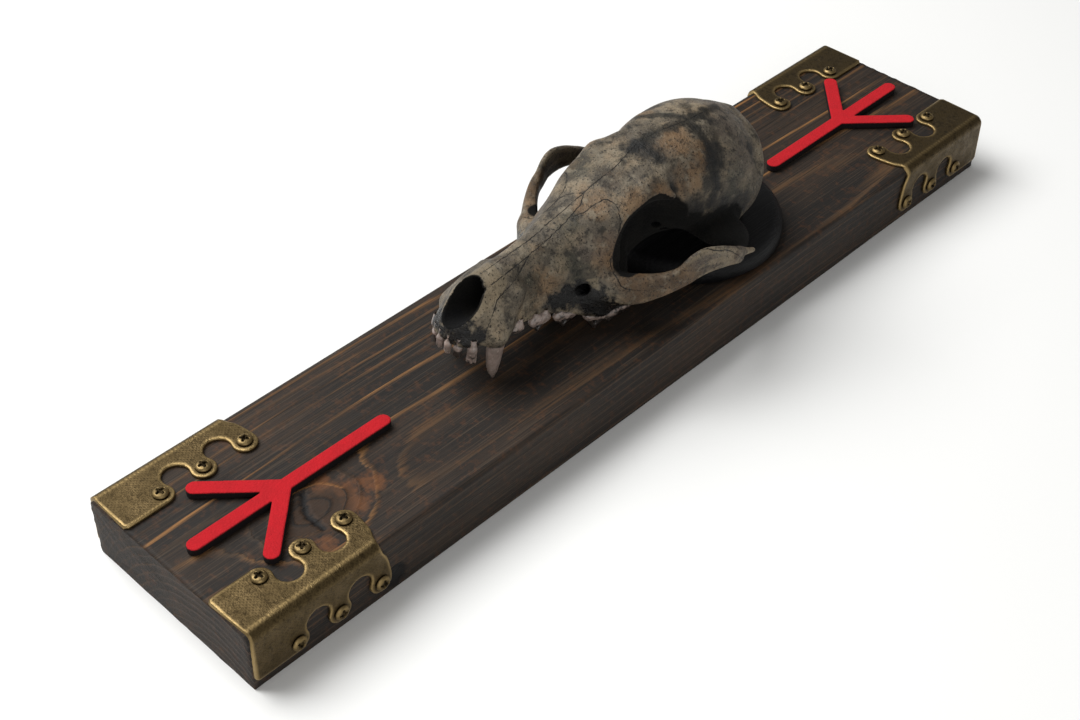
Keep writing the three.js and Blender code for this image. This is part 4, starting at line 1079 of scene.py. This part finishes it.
disc_points[:, 2] -= DISC_GRAIN_DEPTH * grain * (disc_points[:, 2] > disc_thick / 2)


def black_stained_wood():
    """Wood stained black: a low IOR, as open pores drink the light, and straight grain"""
    material, tree, shader = start_material("black_stained_wood")
    fibre = mottle(tree, 1.3, 0.4, 0.65, (1, 45, 1))
    layers = [("#0c0c0e", fibre, 0.7), ("#16171a", mottle(tree, 0.5, 0.55, 0.7, (1, 70, 1)), 0.5)]
    feed(tree, shader, {"Base Color": layered(tree, "#040405", layers), "Roughness": 0.55, "IOR": 1.3})
    bumped(tree, shader, [(fibre, 0.12), (mottle(tree, 0.5, 0.3, 0.7, (1, 70, 1)), 0.05)])
    return material


piece("turned_disc", disc_points + [disc_middle[0], disc_middle[1], disc_low[2]], disc_faces,
      black_stained_wood(), ["rest_disc"])
print("disc radius mm:", disc_radius, "thick:", round(disc_thick, 2))

# %% [markdown]
# ## Corner plates
# Each plate was pressed from one sheet of brass, patterned while flat and then folded over the plank's edge.
# It is built in that order: an outline of lobes and bays, a mesh inside it fine enough to carry the pattern,
# then one bend. The other three plates are the same one mirrored.

# %% Flat outline of a plate
GAP, PLATE_THICKNESS = 0.3, 1.0
PLATE_END_GAP, PLATE_FOLD_END, PLATE_CORNER_CUT = 0.4, 54.4, 1.2
PLATE_END_BULGE, PLATE_END_WAIST = 2, 6.9
SCREW_ALONG, SCREW_ACROSS = (17.8, 35.4, 53), 15.9
LOBE_RADIUS, BAY_ACROSS = 4.6, 12.1
FOLD_MID = EDGE_RADIUS + GAP + PLATE_THICKNESS / 2


def arc(middle, radius, start, end, steps):
    turns = np.linspace(start, end, steps)
    return [(middle[0] + radius * math.cos(a), middle[1] + radius * math.sin(a)) for a in turns]


def flange():
    """One flange's edge as [along, across] from its near end to its far end"""
    points = [(PLATE_END_GAP, SCREW_ACROSS + LOBE_RADIUS - PLATE_CORNER_CUT),
              (PLATE_END_GAP + PLATE_CORNER_CUT, SCREW_ACROSS + LOBE_RADIUS)]
    rise = SCREW_ACROSS - BAY_ACROSS
    start = math.pi / 2
    for i, u in enumerate(SCREW_ALONG):
        if i == len(SCREW_ALONG) - 1:
            points += arc((u, SCREW_ACROSS), LOBE_RADIUS, start, 0, 14)
            break
        half = (SCREW_ALONG[i + 1] - u) / 2
        slant = math.atan2(-rise, half)
        points += arc((u, SCREW_ACROSS), LOBE_RADIUS, start, slant, 16)
        bay = math.hypot(half, rise) - LOBE_RADIUS
        points += arc((u + half, BAY_ACROSS), bay, math.pi + slant, 2 * math.pi - slant, 18)[1:-1]
        start = math.pi - slant
    tail = curve([[EDGE_RADIUS, PLATE_FOLD_END], [PLATE_END_WAIST, PLATE_FOLD_END + PLATE_END_BULGE],
                  [SCREW_ACROSS, SCREW_ALONG[-1] + LOBE_RADIUS]])
    points += [(float(tail(v)), v) for v in np.linspace(SCREW_ACROSS - 1, EDGE_RADIUS, 16)]
    return np.array(points)


edge_line = flange()
flat_half = FOLD_MID * math.pi / 4
upper = np.stack([edge_line[:, 0], edge_line[:, 1] - EDGE_RADIUS + flat_half], -1)
outline = np.concatenate([upper, upper[::-1] * [1, -1]])
print("plate outline points:", len(outline), "flat size mm:", np.round(np.ptp(outline, axis=0), 1))

# %% [markdown]
# The mesh inside the outline comes from Blender's Delaunay triangulation, which keeps the outline and takes
# a grid of loose points. The distance to the outline gives the pressed rim its round edge.

# %% Mesh of a plate, pressed and folded
from mathutils.geometry import delaunay_2d_cdt

PLATE_STEP, RIM_STEP, RIM_DROP, SHEET_SINK = 0.7, 0.3, 0.3, 0.25


def from_outline(points, outline):
    """Signed distance of flat points from a closed outline: above zero inside it"""
    best = np.full(len(points), np.inf)
    inside = np.zeros(len(points), bool)
    for a, b in zip(outline, np.roll(outline, -1, axis=0)):
        run = b - a
        best = np.minimum(best, np.linalg.norm(from_line(points, a, b)[1], axis=1))
        spans = (a[1] > points[:, 1]) != (b[1] > points[:, 1])
        inside ^= spans & (points[:, 0] < a[0] + run[0] * (points[:, 1] - a[1]) / (run[1] + 1e-12))
    return np.where(inside, best, -best)


def filled(outline):
    """Flat points, triangles and the rim's point numbers of a closed outline"""
    low, high = outline.min(0), outline.max(0)
    axes = [np.arange(a, b, PLATE_STEP) for a, b in zip(low, high)]
    grid = np.stack(np.meshgrid(*axes), -1).reshape(-1, 2)
    ahead, behind = np.roll(outline, -1, axis=0), np.roll(outline, 1, axis=0)
    way = ahead - behind
    inner = outline + RIM_STEP * np.stack([way[:, 1], -way[:, 0]], -1) / np.linalg.norm(way, axis=1)[:, None]
    inner = inner[from_outline(inner, outline) > RIM_STEP * 0.8]
    grid = grid[from_outline(grid, outline) > PLATE_STEP * 0.9]
    every = [Vector(p) for p in np.concatenate([outline, inner, grid])]
    n = len(outline)
    made = delaunay_2d_cdt(every, [(i, (i + 1) % n) for i in range(n)], [list(range(n))], 1, 1e-5)
    flat = np.array([list(v) for v in made[0]])
    rim = [next(i for i, old in enumerate(made[3]) if k in old) for k in range(n)]
    return flat, made[2], rim


def folded(flat, height):
    """Flat points, at a height over the sheet's inner face, folded over the plank's +X edge at its -Y end"""
    u, s = flat.T
    r = EDGE_RADIUS + GAP + height
    turn = np.clip(s / FOLD_MID, -math.pi / 4, math.pi / 4) - math.pi / 4
    past = np.abs(s) - flat_half
    x = across / 2 - EDGE_RADIUS - r * np.sin(turn)
    z = thick - EDGE_RADIUS + r * np.cos(turn)
    x = np.where(s > flat_half, across / 2 - EDGE_RADIUS - past, x)
    z = np.where(s > flat_half, thick - EDGE_RADIUS + r, z)
    x = np.where(s < -flat_half, across / 2 - EDGE_RADIUS + r, x)
    z = np.where(s < -flat_half, thick - EDGE_RADIUS - past, z)
    return np.stack([x, u - along / 2, z + plank_low[2]], -1)


flat, plate_faces, rim = filled(outline)
to_edge = np.maximum(from_outline(flat, outline), 0)
crown = PLATE_THICKNESS - RIM_DROP * (1 - ramp(to_edge, 0, 0.5))
count = len(flat)
plate_points = np.concatenate([folded(flat, crown), folded(flat, np.full(count, -SHEET_SINK))])
every_face = [list(f) for f in plate_faces] + [[i + count for i in reversed(f)] for f in plate_faces]
for i, j in zip(rim, rim[1:] + rim[:1]):
    every_face.append([i, j, j + count, i + count])
print("plate points:", len(plate_points), "faces:", len(every_face))

# %% [markdown]
# Antique brass is brass darkened with a chemical and then rubbed, so it is bright only on the rims and on
# the knurled fold. The plates carry a pressed pattern of curls and of crossed lines, in which the dark
# patina stayed. Both are bump and colour in the sheet's own flat millimetres, which every point keeps as a
# mark. The screws are of the same brass, dark all over but for their worn edges.

# %% Antique brass
HATCH_PITCH = 1.1
ONE_WAVE = 0.314  # scale of the wave texture that gives one line a millimetre: 2 pi / 20
CURL_SIZE, CURL_WARP, CURL_LINES = 2.6, 1.6, 24.0
KNURL_PITCH = 1.7
PATTERN_SHIFT = 70  # mm between the parts of the pattern that neighbouring plates show


def antique_brass(name, patterned):
    """Brass: a metal with the default IOR, coloured by its patina, duller where dark"""
    material, tree, shader = start_material(name)
    flat_at = add(tree, "Attribute", attribute_name="flat").outputs["Vector"]
    rim_mask = add(tree, "Attribute", attribute_name="rim").outputs["Fac"]
    cloud = mottle(tree, 6, 0.35, 0.65)
    layers = [("#4b3f29", cloud, 0.6), ("#2c2418", mottle(tree, 1.6, 0.5, 0.68), 0.6)]
    heights = [(mottle(tree, 1.2, 0.3, 0.7), 0.03)]
    if patterned:
        warp = add(tree, "TexNoise", {"Vector": flat_at, "Scale": 1 / CURL_SIZE, "Detail": 1})
        swirl = {0: warp.outputs["Color"], 1: [CURL_SIZE * CURL_WARP] * 3, 2: flat_at}
        swirl = add(tree, "VectorMath", swirl, operation="MULTIPLY_ADD").outputs[0]
        curl = add(tree, "TexVoronoi", {"Vector": swirl, "Scale": 1 / CURL_SIZE}, feature="F1").outputs[0]
        curl = add(tree, "Math", {0: curl, 1: CURL_LINES}, operation="MULTIPLY").outputs[0]
        curl = add(tree, "Math", {0: curl}, operation="SINE").outputs[0]
        curl = add(tree, "MapRange", {"Value": curl, "From Min": 0.1, "From Max": 0.7}).outputs[0]
        hatch = None
        for angle in (math.radians(45), math.radians(-45)):
            turned = add(tree, "Mapping", {"Vector": flat_at, "Rotation": [0, 0, angle]}).outputs[0]
            lines = add(tree, "TexWave", {"Vector": turned, "Scale": ONE_WAVE / HATCH_PITCH}).outputs[1]
            hatch = add(tree, "Math", {0: hatch or 1.0, 1: lines}, operation="MULTIPLY").outputs[0]
        chosen = mottle(tree, 9, 0.47, 0.53)
        pattern = add(tree, "Mix", {0: chosen, 2: curl, 3: hatch}).outputs[0]
        layers += [("#2b2316", pattern, 0.35)]
        heights += [(pattern, 0.03)]
    else:
        layers += [("#15110c", mottle(tree, 3, 0.3, 0.5), 0.85)]
    layers += [("#ae9566", rim_mask, 0.75)]
    rough = add(tree, "MapRange", {"Value": cloud, "To Min": 0.4, "To Max": 0.55}).outputs[0]
    feed(tree, shader, {"Base Color": layered(tree, "#5f5036", layers), "Metallic": 1, "Roughness": rough})
    bumped(tree, shader, heights)
    return material


brass = antique_brass("antique_brass_sheet", True)
CORNER_SIGNS = [(1, 1), (-1, 1), (1, -1), (-1, -1)]
rim_worn = ramp(to_edge, 1.25, 0.25)
knurl = 0.5 + 0.5 * np.cos(flat[:, 0] * 2 * math.pi / KNURL_PITCH)
fold_worn = (0.2 + 0.5 * knurl) * ramp(np.abs(flat[:, 1] - flat_half), 1.2, 0)
for corner, (side_x, side_y) in enumerate(CORNER_SIGNS, 1):
    plate = piece(f"pressed_plate_{corner}", plate_points * [side_x, side_y, 1], every_face, brass,
                  [f"corner_plate_{corner}"])
    mark(plate, "flat", np.tile(np.column_stack([flat + PATTERN_SHIFT * corner, np.zeros(count)]), (2, 1)))
    mark(plate, "rim", np.tile(np.maximum(rim_worn, fold_worn), 2))
print("plates:", len(CORNER_SIGNS))

# %% [markdown]
# ## Screws
# A pan head is a low dome with a cross pressed into it. The head is a disc of rings of points, and every
# point knows how deep the cross goes there. Each head stops at its own angle, as screws do.

# %% Screw heads
HEAD_RADIUS, HEAD_HEIGHT = 2.9, 1.7
CROSS_REACH, CROSS_WIDTH, CROSS_DEPTH = 1.75, 0.42, 1.05
HEAD_SIDES = 64
SEAT = GAP + PLATE_THICKNESS


def screw_head():
    """Points, faces and wear of a pan head on Z = 0, which sinks a little into the plate"""
    radii = np.concatenate([np.linspace(0.06, 2.1, 18), np.linspace(2.2, HEAD_RADIUS - 0.02, 9)])
    high = HEAD_HEIGHT * np.sqrt(np.clip(1 - (radii / (HEAD_RADIUS + 0.12)) ** 3.4, 0, 1))
    profile = list(zip(radii, high))[::-1]
    profile = [(1.0, -0.6), (HEAD_RADIUS - 0.25, -0.6), (HEAD_RADIUS, -0.3), (HEAD_RADIUS, 0.35)] + profile
    points, faces = lathe(profile, HEAD_SIDES)
    x, y = np.abs(points[:, 0]), np.abs(points[:, 1])
    narrow, far, out = np.minimum(x, y), np.maximum(x, y), np.hypot(x, y)
    arm = ramp(narrow, CROSS_WIDTH + 0.08, CROSS_WIDTH - 0.08)
    arm = arm * ramp(far, CROSS_REACH + 0.175, CROSS_REACH - 0.175)
    cut = np.maximum(arm * (1 - 0.4 * np.clip(far / CROSS_REACH, 0, 1)), ramp(out, 0.85, 0.65))
    top = points[:, 2] > 0.5
    points[:, 2] -= CROSS_DEPTH * cut * top
    return points, faces, np.clip(0.75 - cut, 0, 1) * top * ramp(out, 0.8, 2.4)


head_points, head_faces, head_wear = screw_head()
screw_brass = antique_brass("dark_screw_brass", False)
stop_angles = iter(np.random.default_rng(11).uniform(0, math.pi / 2, 24))
for corner, (side_x, side_y) in enumerate(CORNER_SIGNS, 1):
    for i, u in enumerate(SCREW_ALONG, 1):
        y = side_y * (u - along / 2)
        spots = {"top": (Matrix(), [side_x * (across / 2 - SCREW_ACROSS), y, plank_high[2] + SEAT]),
                 "side": (Matrix.Rotation(side_x * math.pi / 2, 4, "Y"),
                          [side_x * (across / 2 + SEAT), y, plank_high[2] - SCREW_ACROSS])}
        for where, (tilt, at) in spots.items():
            matrix = np.array((tilt @ Matrix.Rotation(next(stop_angles), 4, "Z")).to_3x3())
            number = f"{where}_{corner}_{i}"
            head = piece("head_" + number, head_points @ matrix.T + at, head_faces, screw_brass,
                         ["screw_" + number])
            mark(head, "rim", head_wear)
print("screw points each:", len(head_points))

# %% [markdown]
# ## Ornaments
# Two flat ornaments of three tines are cut out of thin fibreboard by a laser. Their sides are painted near
# black as painted shade, and their faces are matte red with the nap of the fibres. Each is a flat field of
# three round-ended bars.

# %% Red ornaments
ORNAMENT_THICKNESS, BAR_WIDTH, ORNAMENT_EASE, GLUE_LINE = 3.0, 5.7, 0.3, 0.1
STEM_Y, FORK_Y, TIP_Y = 108, 152, 188.5
SIDE_X, SIDE_Y, SHIFT_X = 20.5, 173.5, 1.3
ORNAMENT_ROOM = [-26, 103, -1], [26, 194, 4.2]
ORNAMENT_BARS = [((0, STEM_Y), (0, TIP_Y)), ((0, FORK_Y), (SIDE_X, SIDE_Y)), ((0, FORK_Y), (-SIDE_X, SIDE_Y))]


def ornament(x, y, z):
    """Distance to the ornament, lying on Z = 0"""
    d = FAR
    for a, b in ORNAMENT_BARS:
        d = np.minimum(d, rod((x, y, 0 * z), (*a, 0), (*b, 0), BAR_WIDTH / 2, BAR_WIDTH / 2))
    slab = np.abs(z - ORNAMENT_THICKNESS / 2) - ORNAMENT_THICKNESS / 2
    return meet(d, slab, ORNAMENT_EASE)


def painted_fibreboard():
    """Matte red paint on fibreboard: a low IOR, very rough, with fibre nap, and sides black as painted shade
    """
    material, tree, shader = start_material("red_painted_fibreboard")
    # Painted shade: the sides and the underside are painted near black
    side_shade = add(tree, "Attribute", attribute_name="cut_side").outputs["Fac"]
    layers = [("#a80d18", mottle(tree, 5, 0.4, 0.65), 0.5),
              ("#cf1b28", mottle(tree, 0.9, 0.55, 0.7), 0.35),
              ("#8c0812", mottle(tree, 0.6, 0.6, 0.7), 0.4),
              ("#0c0304", side_shade, 1)]
    feed(tree, shader, {"Base Color": layered(tree, "#b90e1b", layers), "Roughness": 0.9, "IOR": 1.4})
    bumped(tree, shader, [(mottle(tree, 0.6, 0.3, 0.7, detail=3), 0.12)])
    return material


red_paint = painted_fibreboard()
ornament_step = 0.48
bar_points, bar_quads = surface(ornament, *ORNAMENT_ROOM, ornament_step, 1)
for place, turn in (("near", -1), ("far", 1)):
    at = bar_points * [turn, turn, 1] + [SHIFT_X, 0, plank_high[2] + GLUE_LINE]
    bar = piece("red_ornament_" + place, at, bar_quads, red_paint, ["ornament_" + place])
    # The sides and the underside carry the painted shade
    mark(bar, "cut_side", smooth((ORNAMENT_THICKNESS - 0.12 - bar_points[:, 2]) * 3))
print("ornament points:", len(bar_points))

# %% [markdown]
# ## Floor, light and camera
# The piece stands on a pale floor under soft studio light: one large panel high on the camera's left, a
# small weak one low on its right, and a dim even surround, which keeps the black hollows black. The camera's
# place and its moderate lens were found from the edges of the plank.

# %% Floor and light
def panel(name, at, target, size, power):
    """A square soft light that faces a target, all in metres"""
    light = bpy.data.lights.new(name, "AREA")
    light.size = size
    light.energy = power
    obj = bpy.data.objects.new(name, light)
    obj.location = at
    obj.rotation_euler = (Vector(target) - Vector(at)).to_track_quat("-Z", "Y").to_euler()
    bpy.context.scene.collection.objects.link(obj)


def pale_floor():
    """Matt white paper, which takes soft shadows"""
    material, tree, shader = start_material("pale_floor")
    feed(tree, shader, {"Base Color": linear("#f1f1ef"), "Roughness": 0.9})
    return material


FLOOR_HALF, SURROUND = 6.0, 0.24
floor_mesh = bpy.data.meshes.new("floor")
corners = [(x * FLOOR_HALF, y * FLOOR_HALF, 0) for x, y in ((-1, -1), (1, -1), (1, 1), (-1, 1))]
floor_mesh.from_pydata(corners, [], [(0, 1, 2, 3)])
floor = bpy.data.objects.new("floor", floor_mesh)
bpy.context.scene.collection.objects.link(floor)
floor_mesh.materials.append(pale_floor())

bpy.context.scene.view_settings.view_transform = "Standard"
world = bpy.data.worlds.new("studio")
bpy.context.scene.world = world
world.use_nodes = True
feed(world.node_tree, world.node_tree.nodes["Background"], {"Color": linear("#ffffff"), "Strength": SURROUND})
panel("key", (-0.75, -0.35, 1.2), (0, 0, 0.04), size=1.1, power=28)
panel("fill", (0.9, -0.7, 0.6), (0, 0, 0.03), size=0.8, power=4)

# %% Camera
LENS_MM, SENSOR_MM = 56.64, 36
CAMERA_AT = Vector((338.2, -373.0, 436.6)) * MM
CAMERA_WAY = Vector((-0.5224, 0.5316, -0.6667))
camera_data = bpy.data.cameras.new("camera")
camera_data.lens = LENS_MM
camera_data.sensor_width = SENSOR_MM
camera_data.clip_start = 0.01
camera = bpy.data.objects.new("camera", camera_data)
camera.location = CAMERA_AT
camera.rotation_euler = CAMERA_WAY.to_track_quat("-Z", "Y").to_euler()
bpy.context.scene.collection.objects.link(camera)
bpy.context.scene.camera = camera
